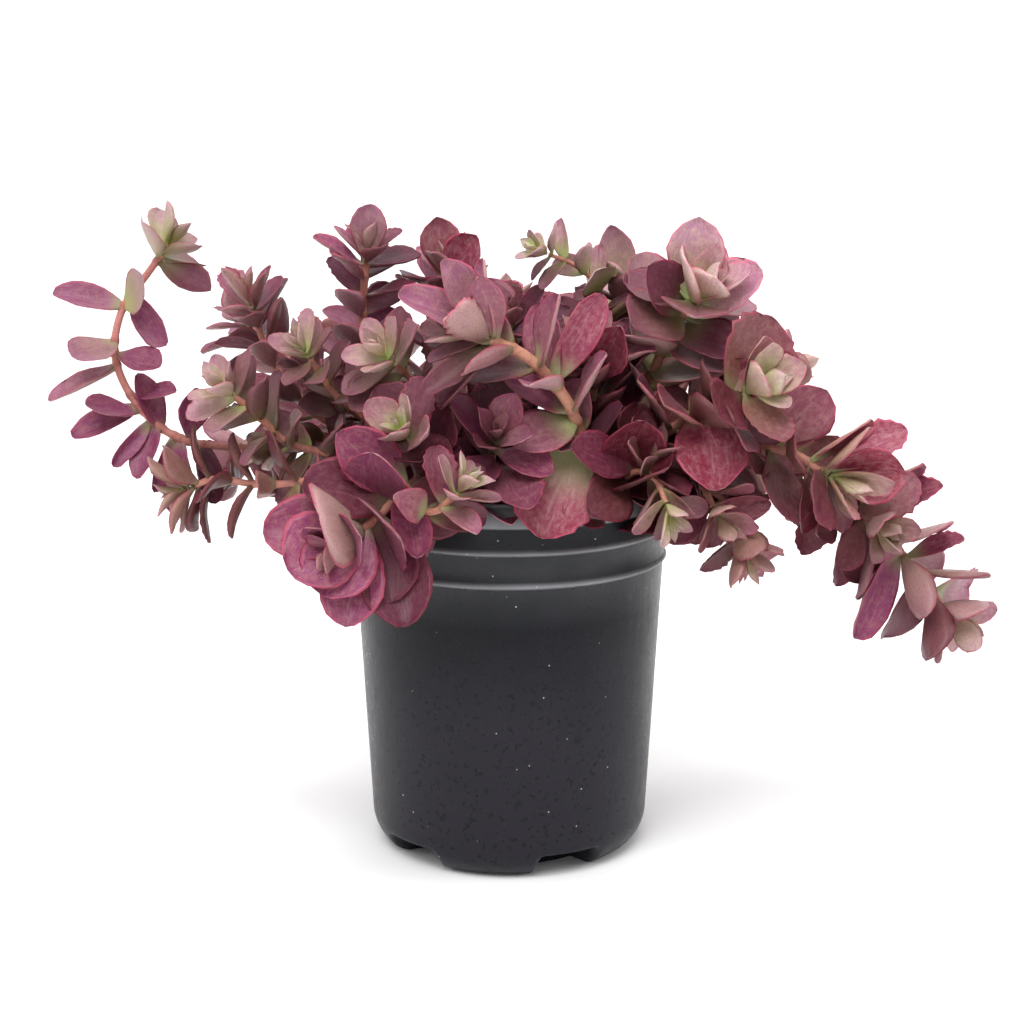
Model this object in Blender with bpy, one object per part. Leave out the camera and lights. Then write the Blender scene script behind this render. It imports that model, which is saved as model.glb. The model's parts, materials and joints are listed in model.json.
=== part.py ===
"""A trailing sedum growing in a round nursery pot, in metres with +Z up.

The origin is on the pot's axis, on the surface that the pot stands on. The front is -Y.
The plant is a set of stems that rise out of the potting mix, lean over the rim and end in
rosettes. Each stem is one solid with its forks and the leaves along it, and each rosette is
one solid of its own, a hair's breadth past the end of its stem.
"""

import math
import random

import bmesh
import bpy
from mathutils import Vector
from mathutils.bvhtree import BVHTree

MM = 0.001

# Pot: a blow-moulded body on five feet, with two beads and a thick lip.
POT_HEIGHT = 178 * MM
RIM_RADIUS = 77 * MM
SHOULDER_RADIUS = 72.6 * MM
HEEL_RADIUS = 65.8 * MM
FOOT_RADIUS = 52 * MM
HEEL_HEIGHT = 17 * MM
WALL = 1.6 * MM
FLOOR = 2.0 * MM
LIP_HEIGHT = 11 * MM
LIP_THICKNESS = 3.4 * MM
UPPER_BEAD_DROP = 22.5 * MM
LOWER_BEAD_DROP = 37.5 * MM
BEAD_HEIGHT = 1.3 * MM
BEAD_WIDTH = 5.0 * MM
FOOT_COUNT = 5
NOTCH_ANGLE = math.radians(27)
NOTCH_HEIGHT = 12 * MM
NOTCH_INNER_RADIUS = 43 * MM
FRONT_FOOT_TURN = math.radians(-10)
POT_SIDES = 40

# Potting mix
MIX_DROP = 25 * MM
MIX_MOUND = 4 * MM
MIX_SIDES = 24

# Clearances
GAP = 0.4 * MM
LEAF_GAP = 0.35 * MM
FOOT_GAP = 1.0 * MM

# Stems. A route that would touch another stem is moved aside in growing steps of NUDGE.
ROUTE_MOUTH_RADIUS = 72.46
ROUTE_STEPS = 8
STEM_STEP = 16 * MM
ROOM_STEP = 6 * MM
UPRIGHT_FOOT = 6 * MM
NUDGE = 0.5 * MM
NUDGE_TURN = 2.4
NUDGE_RISE = 0.8
MOST_NUDGES = 24
BEND_ROOM = 1.1
FORK_LEAD = 8 * MM

# Leaves. An outline is sin(pi * s ** BROADEST_AT) ** TIP_ROUNDNESS, with s from base to tip.
PETIOLE_THICKNESS = 1.7 * MM
LEAF_THICKNESS = 2.0 * MM
BROADEST_AT = 1.35
TIP_ROUNDNESS = 0.6
NARROW_RINGS = (0.56,)
BROAD_RINGS = (0.38, 0.78)
STEM_CUP = 0.14
STEM_TWIST = 38.0
STEM_TURN_SPREAD = 14.0
STEM_TILT_SPREAD = 8.0

# Rosettes. Tilts are from the stem's axis, in degrees, for the outer and the inner pair.
FIRST_TILT = 76.0
LAST_TILT = 34.0
ROSETTE_CUP = 0.16
ROSETTE_TWIST = 12.0
ROSETTE_TURN_SPREAD = 9.0
ROSETTE_TILT_SPREAD = 6.0
ROSETTE_SPACING = 2.4 * MM
INNER_SHRINK = 0.38
BUD_SHARE = 0.42
PAIR_TURNS = (0, 90, 45, 135, 0)


def shoot(name, base, route, radius, leaves, rosette, roll=0.0, parent=None, placed=()):
    """One row of the planting plan.

    base is where the stem leaves the mix, (x, y) in millimetres, or about where it forks from
    its parent, (x, y, height over the rim). route goes on from there, for a pot's mouth of
    ROUTE_MOUTH_RADIUS. radius is the stem's at its base and tip. leaves is (share of the stem
    left bare, spacing, length, width share, tilt, bend), and rosette is (length, width share,
    pairs, bend). placed leaves are (point, direction, upper face, length, width share, bend).
    """
    return {
        "name": name,
        "base": base,
        "route": route,
        "radius": radius,
        "leaves": leaves,
        "rosette": rosette,
        "roll": roll,
        "parent": parent,
        "placed": placed,
    }


PLAN = [
    # Left side, seen from the front
    shoot("far_left", (-30, -2),
          [(-58, -6, 10), (-90, -14, 19), (-120, -21, 15), (-149, -25, 20), (-168, -24, 35),
           (-178, -21, 56), (-175, -18, 77), (-163, -15, 94), (-157, -13, 102)],
          (2.3, 1.6), (0.36, 11.5, 31, 0.40, 78, -0.4), (28, 0.54, 4, 0.4), 25),
    shoot("left_upright", (-72, -10, 14),
          [(-92, -5, 30), (-110, -4, 54), (-117, -5, 76)],
          (1.8, 1.4), (0.2, 11.5, 25, 0.48, 66, 0.1), (27, 0.50, 4, 0.3), 30, "far_left"),
    shoot("left_front", (-32, -15),
          [(-62, -26, 7), (-97, -36, 19), (-110, -42, 32), (-121, -48, 43)],
          (2.3, 1.5), (0.32, 11, 27, 0.45, 72, -0.2), (23, 0.58, 4, 0.5), 10),
    shoot("left_low", (-58, -25, 6),
          [(-82, -42, 5), (-108, -47, 3), (-130, -44, 5), (-140, -42, 2)],
          (1.8, 1.5), (0.2, 11.5, 27, 0.46, 70, -0.5), (26, 0.52, 4, -0.1), 60, "left_front"),
    shoot("tall_left", (-22, 6),
          [(-42, 7, 8), (-64, 10, 34), (-68, 6, 66), (-66, 2, 97)],
          (2.4, 1.7), (0.36, 10.5, 27, 0.54, 68, 0.15), (28, 0.54, 4, 0.25), 15),
    shoot("left_bud", (-42, 7, 8),
          [(-62, -8, 22), (-78, -27, 40), (-88, -38, 58)],
          (1.7, 1.4), (0.15, 11, 25, 0.50, 62, 0.1), (24, 0.52, 4, 0.4), 80, "tall_left"),
    # Middle
    shoot("tall_middle", (-8, 20),
          [(-22, 28, 14), (-32, 31, 52), (-30, 29, 86)],
          (2.4, 1.8), (0.36, 11, 29, 0.56, 62, 0.2), (30, 0.58, 4, 0.2), 50),
    shoot("upper_middle", (7, 12),
          [(6, 16, 20), (3, 10, 50), (2, 4, 64)],
          (2.2, 1.7), (0.36, 11, 30, 0.54, 64, 0.2), (31, 0.54, 4, 0.2), 20),
    shoot("arch", (30, -28),
          [(33, -46, 10), (29, -61, 34), (20, -70, 51), (6, -76, 65), (-8, -78, 71)],
          (3.0, 2.3), (0.90, 16, 34, 0.46, 60, 0.1), (35, 0.46, 5, 0.25), 35, None,
          [((28, -64, 22), (-0.22, -0.80, -0.56), (0.05, -0.60, 0.8), 37, 0.94, -0.12),
           ((28, -63, 29), (-0.85, -0.50, 0.15), (0.10, -0.60, 0.8), 31, 0.76, -0.2)]),
    shoot("front_bud", (-14, -20),
          [(-26, -32, 14), (-38, -46, 44), (-50, -58, 59)],
          (2.0, 1.5), (0.50, 11.5, 27, 0.54, 62, 0.1), (25, 0.56, 4, 0.45), 0),
    shoot("green_heart", (-14, -35),
          [(-26, -52, 4), (-36, -68, 20), (-42, -78, 29)],
          (2.0, 1.6), (0.50, 11.5, 32, 0.66, 70, 0.0), (26, 0.60, 4, 0.35), 45),
    shoot("front_middle", (-19, -43, -6),
          [(-10, -58, 8), (-7, -70, 22)],
          (2.0, 1.8), (0.3, 11, 34, 0.56, 70, 0.0), (33, 0.56, 4, 0.0), 70, "green_heart"),
    shoot("hanging_left", (-25, -38),
          [(-33, -62, 8), (-42, -84, 10), (-55, -99, 0), (-67, -107, -9)],
          (2.5, 1.9), (0.48, 11.5, 34, 0.82, 72, -0.1), (36, 0.84, 4, 0.15), 20),
    shoot("small_heart", (-42, -84, 10),
          [(-38, -97, 3), (-30, -103, 3), (-23, -106, 10)],
          (1.7, 1.4), (0.25, 11, 27, 0.46, 72, -0.2), (22, 0.5, 4, 0.2), 10, "hanging_left"),
    shoot("right_of_arch", (36, -14),
          [(40, -24, 14), (38, -32, 40), (37, -36, 52)],
          (2.4, 1.8), (0.42, 11, 36, 0.40, 52, 0.15), (39, 0.40, 4, 0.1), 65),
    # Right side
    shoot("upper_right", (34, 4),
          [(49, -3, 18), (63, -20, 46), (74, -29, 72), (80, -36, 82)],
          (2.8, 2.1), (0.42, 12, 36, 0.74, 66, 0.1), (38, 0.80, 4, 0.2), 5),
    shoot("upper_right_small", (29, 17),
          [(42, 19, 26), (52, 14, 66), (54, 12, 80)],
          (1.9, 1.4), (0.42, 12, 28, 0.56, 58, 0.2), (28, 0.54, 3, 0.2), 40),
    shoot("thin_pale", (42, 19, 26),
          [(44, 9, 54), (41, 0, 84), (31, -5, 96), (18, -8, 102)],
          (1.3, 0.9), (0.45, 13, 19, 0.46, 70, 0.1), (17, 0.66, 3, 0.2), 0, "upper_right_small"),
    shoot("yellow_heart", (42, -26),
          [(60, -36, 14), (80, -48, 34), (95, -56, 43), (101, -61, 46)],
          (2.6, 2.0), (0.40, 12, 36, 0.64, 72, 0.0), (33, 0.60, 5, 0.3), 55),
    shoot("inner_right", (33, -41),
          [(46, -52, 2), (56, -60, 12)],
          (2.2, 1.8), (0.45, 11, 37, 0.56, 74, -0.1), (35, 0.54, 3, 0.0), 30),
    shoot("rim_small", (46, -52, 2),
          [(55, -64, 12), (63, -76, 11), (67, -82, 2)],
          (1.6, 1.3), (0.6, 12, 21, 0.48, 60, 0.0), (22, 0.50, 3, 0.3), 20, "inner_right"),
    shoot("right_trailing", (48, 2),
          [(76, -14, 12), (102, -34, 19), (124, -50, 18), (138, -59, 11)],
          (2.5, 1.9), (0.38, 12, 34, 0.60, 72, -0.1), (30, 0.58, 4, 0.35), 75),
    shoot("right_low", (70, -10, 9),
          [(90, -5, 14), (112, -8, 11), (134, -21, 4), (152, -33, -8), (161, -40, -14)],
          (2.1, 1.7), (0.2, 12, 32, 0.48, 74, -0.1), (28, 0.58, 4, 0.35), 15, "right_trailing"),
    shoot("right_end", (134, -21, 4),
          [(152, -18, -6), (174, -24, -26), (192, -31, -48), (199, -34, -57)],
          (1.8, 1.5), (0.2, 12.5, 37, 0.48, 70, -0.1), (27, 0.56, 4, 0.5), 50, "right_low"),
    shoot("rim_dark", (54, -17),
          [(62, -28, 10), (74, -44, 12), (84, -59, 6), (89, -66, -3)],
          (2.0, 1.5), (0.5, 11.5, 26, 0.54, 66, 0.0), (24, 0.54, 4, 0.4), 60),
    shoot("rim_hanging", (84, -58, 6),
          [(96, -56, -4), (102, -56, -20)],
          (1.6, 1.4), (0.25, 11.5, 28, 0.54, 70, 0.0), (26, 0.54, 4, 0.35), 30, "rim_dark"),
    # Back
    shoot("left_back", (-36, 20),
          [(-70, 27, 18), (-104, 37, 46), (-124, 43, 62)],
          (2.2, 1.6), (0.34, 13, 29, 0.50, 68, 0.0), (28, 0.54, 4, 0.3), 20),
    shoot("back_left_long", (-24, 28),
          [(-56, 50, 12), (-92, 76, 16), (-124, 96, 2), (-140, 106, -12)],
          (2.3, 1.7), (0.34, 13, 31, 0.54, 72, -0.2), (29, 0.56, 4, 0.3), 65),
    shoot("back_left", (-50, 46, 11),
          [(-58, 76, 26), (-68, 98, 38), (-76, 110, 42)],
          (2.0, 1.7), (0.2, 13, 31, 0.60, 70, 0.0), (32, 0.64, 4, 0.2), 35, "back_left_long"),
    shoot("back_low", (-2, 38),
          [(-7, 76, 14), (-14, 110, 12), (-20, 132, -4), (-23, 141, -18)],
          (2.3, 1.7), (0.36, 13, 33, 0.64, 72, -0.1), (31, 0.60, 4, 0.3), 10),
    shoot("back_tall", (-1, 26),
          [(2, 42, 24), (0, 54, 64)],
          (2.3, 1.8), (0.38, 12, 30, 0.54, 62, 0.1), (31, 0.56, 4, 0.2), 75),
    shoot("upper_back", (1, 38, 16),
          [(20, 42, 32), (38, 46, 54), (46, 48, 64)],
          (2.0, 1.7), (0.25, 12, 30, 0.58, 62, 0.1), (32, 0.64, 3, 0.2), 40, "back_tall"),
    shoot("back_right_long", (26, 29),
          [(54, 58, 12), (84, 84, 16), (110, 104, 4), (123, 113, -10)],
          (2.3, 1.7), (0.34, 13, 33, 0.54, 72, -0.2), (29, 0.56, 4, 0.3), 25),
    shoot("back_right", (48, 52, 10),
          [(46, 80, 27), (44, 100, 38), (45, 112, 44)],
          (2.0, 1.7), (0.2, 13, 33, 0.62, 70, 0.0), (33, 0.66, 4, 0.2), 55, "back_right_long"),
    shoot("right_back", (38, 27),
          [(72, 42, 14), (106, 53, 30), (128, 60, 36)],
          (2.2, 1.6), (0.34, 13, 33, 0.56, 70, 0.0), (31, 0.60, 4, 0.3), 5),
]

# Colours are linear. Each is (red, green, blue), roughness.
POT_FINISH = ((0.012, 0.014, 0.017), 0.45)
MIX_FINISH = ((0.035, 0.022, 0.014), 0.95)
STEM_FINISH = ((0.32, 0.10, 0.09), 0.5)
ROSETTE_FINISH = ((0.30, 0.09, 0.13), 0.5)


def material(name, finish):
    """A Principled material of one colour."""
    colour, roughness = finish
    made = bpy.data.materials.new(name)
    made.use_nodes = True
    shader = made.node_tree.nodes["Principled BSDF"]
    shader.inputs["Base Color"].default_value = (*colour, 1.0)
    shader.inputs["Roughness"].default_value = roughness
    shader.inputs["Metallic"].default_value = 0.0
    return made


def add_object(name, points, faces, made_of):
    """A named object from points and faces, with its normals facing out."""
    mesh = bpy.data.meshes.new(name)
    mesh.from_pydata([tuple(p) for p in points], [], faces)
    work = bmesh.new()
    work.from_mesh(mesh)
    bmesh.ops.recalc_face_normals(work, faces=work.faces)
    work.to_mesh(mesh)
    work.free()
    mesh.materials.append(made_of)
    item = bpy.data.objects.new(name, mesh)
    bpy.context.scene.collection.objects.link(item)
    return item


def arc(centre, radius, start, end, steps):
    """Points of a circular arc in the (radius, height) plane."""
    turns = [math.radians(start + (end - start) * i / steps) for i in range(steps + 1)]
    return [(centre[0] + radius * math.cos(a), centre[1] + radius * math.sin(a)) for a in turns]


def wall_radius(height):
    """The pot body's outer radius, straight from the heel to the shoulder and on to the lip."""
    shoulder = POT_HEIGHT - LOWER_BEAD_DROP
    share = (height - HEEL_HEIGHT) / (shoulder - HEEL_HEIGHT)
    return HEEL_RADIUS + (SHOULDER_RADIUS - HEEL_RADIUS) * share


def heel(radius, height, foot_radius, foot_height, steps):
    """The quarter-ellipse that rounds the foot into the wall."""
    width, rise = radius - foot_radius, height - foot_height
    turns = [math.pi / 2 * i / steps for i in range(steps + 1)]
    return [(foot_radius + width * math.sin(a), height - rise * math.cos(a)) for a in turns]


def bead(height):
    """The three outline points of a bead around the wall."""
    low, high = height - BEAD_WIDTH / 2, height + BEAD_WIDTH / 2
    return [
        (wall_radius(low), low),
        (wall_radius(height) + BEAD_HEIGHT, height),
        (wall_radius(high), high),
    ]


def mouth_radius():
    """The inside radius of the pot at the bottom of its lip."""
    return min(wall_radius(POT_HEIGHT - LIP_HEIGHT) - WALL, RIM_RADIUS - LIP_THICKNESS)


def bore_radius(height):
    """The pot's inside radius, straight from the heel to the bottom of the lip."""
    low = HEEL_RADIUS - WALL
    share = (height - HEEL_HEIGHT) / (POT_HEIGHT - LIP_HEIGHT - HEEL_HEIGHT)
    return low + (mouth_radius() - low) * share


def pot_outline():
    """The half section of the pot, from the axis underneath to the axis inside."""
    lip_low = POT_HEIGHT - LIP_HEIGHT
    fillet = LIP_THICKNESS / 2
    outer = [(0.0, 0.0)] + heel(HEEL_RADIUS, HEEL_HEIGHT, FOOT_RADIUS, 0.0, 5)
    outer += bead(POT_HEIGHT - LOWER_BEAD_DROP) + bead(POT_HEIGHT - UPPER_BEAD_DROP)
    outer += [(wall_radius(lip_low), lip_low - BEAD_HEIGHT), (RIM_RADIUS, lip_low + BEAD_HEIGHT)]
    outer += arc((RIM_RADIUS - fillet, POT_HEIGHT - fillet), fillet, 0, 180, 4)
    inner = [(mouth_radius(), lip_low)]
    inner += list(reversed(heel(HEEL_RADIUS - WALL, HEEL_HEIGHT, FOOT_RADIUS - WALL, FLOOR, 3)))
    return outer + inner + [(0.0, FLOOR)]


def turned(outline, sides):
    """Points and faces of an outline turned about Z. Its first and last points are on the axis."""
    rings = outline[1:-1]
    points = [Vector((0, 0, outline[0][1])), Vector((0, 0, outline[-1][1]))]
    for radius, height in rings:
        for i in range(sides):
            a = 2 * math.pi * i / sides
            points.append(Vector((radius * math.sin(a), -radius * math.cos(a), height)))
    faces = []
    last = 2 + (len(rings) - 1) * sides
    for i in range(sides):
        j = (i + 1) % sides
        faces.append((0, 2 + i, 2 + j))
        faces.append((1, last + j, last + i))
        for k in range(len(rings) - 1):
            low, high = 2 + k * sides, 2 + (k + 1) * sides
            faces.append((low + i, high + i, high + j, low + j))
    return points, faces


def notch_cutter():
    """The wedges between the feet, as one guide object that the pot is cut with."""
    points, faces = [], []
    inner, outer = NOTCH_INNER_RADIUS, RIM_RADIUS
    for k in range(FOOT_COUNT):
        middle = FRONT_FOOT_TURN + 2 * math.pi * (k + 0.5) / FOOT_COUNT
        first = len(points)
        for height in (-NOTCH_HEIGHT, NOTCH_HEIGHT):
            for radius, side in ((inner, -1), (outer, -1), (outer, 1), (inner, 1)):
                a = middle + side * NOTCH_ANGLE / 2
                points.append(Vector((radius * math.sin(a), -radius * math.cos(a), height)))
        quads = ((0, 3, 2, 1), (4, 5, 6, 7), (0, 1, 5, 4), (1, 2, 6, 5), (2, 3, 7, 6), (3, 0, 4, 7))
        faces += [tuple(first + n for n in quad) for quad in quads]
    cutter = add_object("notch_cutter", points, faces, material("guide", POT_FINISH))
    cutter.hide_render = True
    cutter.display_type = "WIRE"
    return cutter


def make_pot():
    points, faces = turned(pot_outline(), POT_SIDES)
    pot = add_object("pot", points, faces, material("black_pot_plastic", POT_FINISH))
    cut = pot.modifiers.new("notches", "BOOLEAN")
    cut.operation = "DIFFERENCE"
    cut.object = notch_cutter()
    cut.solver = "EXACT"
    return points, faces


def mix_height(radius):
    """The height of the potting mix's surface, which mounds a little in the middle."""
    top = POT_HEIGHT - MIX_DROP
    return top - MIX_MOUND * (radius / bore_radius(top)) ** 2


def make_mix():
    """The potting mix, from just above the drain notches to its mounded surface."""
    brim = bore_radius(POT_HEIGHT - MIX_DROP) - 2 * GAP
    low = NOTCH_HEIGHT + GAP
    outline = [(0.0, low), (FOOT_RADIUS - WALL - GAP, low),
               (bore_radius(HEEL_HEIGHT) - 2 * GAP, HEEL_HEIGHT)]
    outline += [(brim * share, mix_height(brim * share)) for share in (1.0, 0.85, 0.5, 0.0)]
    points, faces = turned(outline, MIX_SIDES)
    add_object("potting_mix", points, faces, material("potting_mix", MIX_FINISH))
    return points, faces


def smooth_route(points):
    """Fine samples (distance, point, axis, side) on a Catmull-Rom curve through the points.

    side is a unit vector square to the axis, carried along without twisting.
    """
    ends = [points[0] * 2 - points[1]] + points + [points[-1] * 2 - points[-2]]
    fine = []
    for a, b, c, d in zip(ends, ends[1:], ends[2:], ends[3:]):
        for i in range(ROUTE_STEPS):
            t = i / ROUTE_STEPS
            fine.append(0.5 * (2 * b + (c - a) * t + (2 * a - 5 * b + 4 * c - d) * t**2
                               + (3 * b - a - 3 * c + d) * t**3))
    fine.append(points[-1].copy())
    samples, distance, side = [], 0.0, Vector((1, 0, 0))
    for k, point in enumerate(fine):
        axis = (fine[min(k + 1, len(fine) - 1)] - fine[max(k - 1, 0)]).normalized()
        side = (side - axis * side.dot(axis)).normalized()
        if k:
            distance += (point - fine[k - 1]).length
        samples.append((distance, point, axis, side))
    return samples


def at(route, distance):
    """The point, axis and side at a distance along a route."""
    for low, high in zip(route, route[1:]):
        if distance <= high[0] or high is route[-1]:
            share = min(1.0, (distance - low[0]) / (high[0] - low[0]))
            return (low[1].lerp(high[1], share), low[2].lerp(high[2], share).normalized(),
                    low[3].lerp(high[3], share).normalized())


def spoke(axis, side, turn):
    """The side vector turned about the axis."""
    return side * math.cos(turn) + axis.cross(side) * math.sin(turn)


def add_ring(points, middle, axis, side, turn, radius):
    """Four points around an axis, whose flats face turn and each quarter turn on from it."""
    first = len(points)
    for i in range(4):
        points.append(middle + spoke(axis, side, turn + math.pi / 4 + math.pi / 2 * i) * radius)
    return list(range(first, first + 4))


def join_rings(points, faces, low, high):
    """Four faces between two rings of four, paired corner to corner where they lie closest."""
    best = None
    for order in (high, high[::-1]):
        for shift in range(4):
            turned_order = order[shift:] + order[:shift]
            apart_by = sum((points[a] - points[b]).length for a, b in zip(low, turned_order))
            if best is None or apart_by < best[0]:
                best = (apart_by, turned_order)
    high = best[1]
    quads = [(low[i], low[(i + 1) % 4], high[(i + 1) % 4], high[i]) for i in range(4)]
    faces += quads
    return quads


def leaf_rings(leaf, rings, extra=0.0):
    """The points of one leaf, four to a ring and then its tip.

    Each ring is a lens section on the bending midrib. extra thickens and widens the leaf, to
    test for room around it.
    """
    forward, face = leaf["forward"], leaf["face"]
    across = forward.cross(face).normalized()
    length, width = leaf["length"] + extra, leaf["width"]
    bend = leaf["bend"] if abs(leaf["bend"]) > 0.01 else 0.01
    points = []
    for s in list(rings) + [1.0]:
        angle = bend * s
        middle = leaf["base"] + forward * (length * math.sin(angle) / bend)
        middle = middle + face * (length * (1 - math.cos(angle)) / bend)
        if s == 1.0:
            points.append(middle)
            continue
        normal = face * math.cos(angle) - forward * math.sin(angle)
        half = width * math.sin(math.pi * s**BROADEST_AT) ** TIP_ROUNDNESS / 2 + extra
        thick = LEAF_THICKNESS / 2 + extra
        edge = normal * (leaf["cup"] * half)
        points += [middle - across * half + edge, middle + normal * thick,
                   middle + across * half + edge, middle - normal * thick]
    return points


def opening_corners(middle, axis, side, turn, radius):
    """The corners of the side of a stem that a leaf grows out of."""
    corners = []
    for end, first in ((-0.5, -1), (0.5, 1)):
        for corner in (first, -first):
            outward = spoke(axis, side, turn + corner * math.pi / 4)
            corners.append(middle + axis * (PETIOLE_THICKNESS * end) + outward * radius)
    return corners


def leaf_shape(leaf, rings, extra=0.0):
    """Points and faces of a leaf by itself, closed where it leaves its stem."""
    points, faces = list(leaf["opening"]), []
    add_leaf(points, faces, (0, 1, 2, 3), leaf, rings, extra)
    faces.append((3, 2, 1, 0))
    return points, faces


def add_leaf(points, faces, opening, leaf, rings, extra=0.0):
    """The leaf's rings and tip, grown out of the four corners of an open side of a stem."""
    first = len(points)
    points += leaf_rings(leaf, rings, extra)
    last = opening
    for k in range(len(rings)):
        ring = list(range(first + 4 * k, first + 4 * k + 4))
        join_rings(points, faces, last, ring)
        last = ring
    faces += [(last[i], last[(i + 1) % 4], len(points) - 1) for i in range(4)]


def add_stem(points, faces, stem, opening=None):
    """A stem with its leaves and forks. It grows out of an opening of another, or is closed.

    stem is a dictionary of its route, its radius at a distance, its joints and its end. A joint
    is (distance, height, turn, growths), and each growth is (turn, kind, details).
    """
    route, radius = stem["route"], stem["radius"]
    last = opening
    for distance, height, turn, growths in sorted(stem["joints"], key=lambda j: j[0]):
        rings = []
        for end in (-0.5, 0.5) if growths else (0.0,):
            middle, axis, side = at(route, distance)
            middle = middle + axis * (height * end)
            rings.append(add_ring(points, middle, axis, side, turn, radius(distance)))
        if last is None:
            faces.append(tuple(rings[0]))
        else:
            join_rings(points, faces, last, rings[0])
        last = rings[-1]
        if not growths:
            continue
        open_sides = join_rings(points, faces, rings[0], rings[1])
        for facing, kind, details in growths:
            outward = spoke(axis, side, facing)
            best = max(open_sides, key=lambda q: sum(((points[n] - middle).dot(outward) for n in q)))
            open_sides.remove(best)
            faces.remove(best)
            if kind == "leaf":
                add_leaf(points, faces, list(best), *details)
            else:
                add_stem(points, faces, details, list(best))
    if stem["bud"]:
        tip = len(points)
        points.append(at(route, route[-1][0])[0])
        faces += [(last[i], last[(i + 1) % 4], tip) for i in range(4)]
    else:
        faces.append(tuple(last))


def solid_item(limb, points, faces, is_leaf=False):
    """A shape with its box and search trees, one of them without a leaf's stalk."""
    triangles = []
    for k, face in enumerate(faces):
        for i in range(1, len(face) - 1):
            triangles.append((k, (face[0], face[i], face[i + 1])))
    low = Vector([min(p[a] for p in points) for a in range(3)])
    high = Vector([max(p[a] for p in points) for a in range(3)])
    whole = BVHTree.FromPolygons(points, [t for _, t in triangles])
    blade = whole
    if is_leaf:
        last = len(faces) - 1
        blade = BVHTree.FromPolygons(points, [t for k, t in triangles if 4 <= k < last])
    return {"limb": limb, "points": points, "low": low, "high": high, "is_leaf": is_leaf,
            "whole": whole, "blade": blade}


def apart(first, second):
    return any(first["high"][a] < second["low"][a] or second["high"][a] < first["low"][a]
               for a in range(3))


def has_room(leaf, others):
    """True if a leaf is clear of all that has grown, but for its stalk at its own limb."""
    for other in others:
        if apart(leaf, other) or not leaf["whole"].overlap(other["whole"]):
            continue
        if leaf["limb"] != other["limb"] or leaf["blade"].overlap(other["whole"]):
            return False
        if other["is_leaf"] and leaf["whole"].overlap(other["blade"]):
            return False
    return True


def above_mix(item):
    """True if no point inside the rim is lower than the top of the potting mix."""
    level = mix_height(0.0) + GAP
    return all(p.z > level or math.hypot(p.x, p.y) > RIM_RADIUS for p in item["points"])


TRIES = [(tilt, turn, size) for size in (1.0, 0.86, 0.72, 0.58)
         for tilt, turn in ((0, 0), (-12, 0), (12, 0), (0, 14), (0, -14), (-24, 8), (22, -8),
                            (-10, -28), (-10, 28), (-38, 0), (34, 14))]


def grow(limb, wanted, rings, grown):
    """The first of the tries at a leaf that has room, or None where the leaf has none."""
    for tilt, turn, size in TRIES:
        outward = spoke(wanted["axis"], wanted["side"], wanted["turn"] + math.radians(turn))
        lean = math.radians(wanted["tilt"] + tilt)
        face = wanted["axis"] * math.sin(lean) - outward * math.cos(lean)
        forward = wanted["axis"] * math.cos(lean) + outward * math.sin(lean)
        leaf = {
            "base": wanted["base"],
            "forward": forward,
            "face": spoke(forward, face, wanted["twist"]),
            "length": wanted["length"] * size,
            "width": wanted["length"] * size * wanted["share"],
            "bend": wanted["bend"],
            "cup": wanted["cup"],
            "opening": wanted["opening"],
        }
        tested = solid_item(limb, *leaf_shape(leaf, rings, LEAF_GAP), is_leaf=True)
        if above_mix(tested) and has_room(tested, grown):
            grown.append(solid_item(limb, *leaf_shape(leaf, rings), is_leaf=True))
            return leaf
    return None


def world(point):
    """A route point, millimetres on the plan's own pot, as metres on this one."""
    stretch = mouth_radius() / ROUTE_MOUTH_RADIUS
    return Vector((point[0] * stretch, point[1] * stretch, POT_HEIGHT + point[2] * MM))


def nudged(points, number):
    """The route with its middle points moved aside, by a little more at each number."""
    turn = number * NUDGE_TURN
    step = Vector((math.cos(turn), math.sin(turn), NUDGE_RISE)) * (NUDGE * number)
    return [points[0]] + [p + step for p in points[1:-1]] + [points[-1]]


def tapered(row, reach):
    """A stem's radius as a function of the distance along it."""
    start, end = (r * MM for r in row["radius"])
    return lambda distance: start + (end - start) * distance / reach


def bare_stem(route, radius):
    """A stem with no leaves, its bends close together, to test for room with."""
    count = max(4, round(route[-1][0] / ROOM_STEP))
    joints = [(route[-1][0] * i / count, 0.0, 0.0, ()) for i in range(count + 1)]
    return {"route": route, "radius": radius, "joints": joints, "bud": False}


def named(name):
    return next(row for row in PLAN if row["name"] == name)


def node_of(row):
    """The node of a stem is its root's, which its forks are part of."""
    return node_of(named(row["parent"])) if row["parent"] else "stem_" + row["name"]


def lay_stems(grown):
    """The stems' routes, each moved aside where it would touch one that is laid already."""
    for row in PLAN:
        row["node"] = node_of(row)
        points = [world(p) for p in row["route"]]
        if row["parent"]:
            stock, near = named(row["parent"])["samples"], world(row["base"])
            row["fork"] = min(stock, key=lambda sample: (sample[1] - near).length)[0]
            foot = at(stock, row["fork"])[0]
        else:
            foot = world((*row["base"], 0))
            foot.z = mix_height(foot.xy.length) + FOOT_GAP
            points.insert(0, foot + Vector((0, 0, UPRIGHT_FOOT)))
        for number in range(MOST_NUDGES):
            route = smooth_route(nudged([foot] + points, number))
            radius = tapered(row, route[-1][0])
            room = bare_stem(route, lambda d: radius(d) * BEND_ROOM + GAP)
            shape = [], []
            add_stem(*shape, room)
            tested = solid_item(row["name"], *shape)
            if not any(o.get("node") != row["node"] and tested["whole"].overlap(o["whole"])
                       for o in grown):
                break
        row["samples"] = route
        shape = [], []
        add_stem(*shape, room)
        laid = solid_item(row["name"], *shape)
        laid["node"] = row["node"]
        grown.append(laid)


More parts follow.
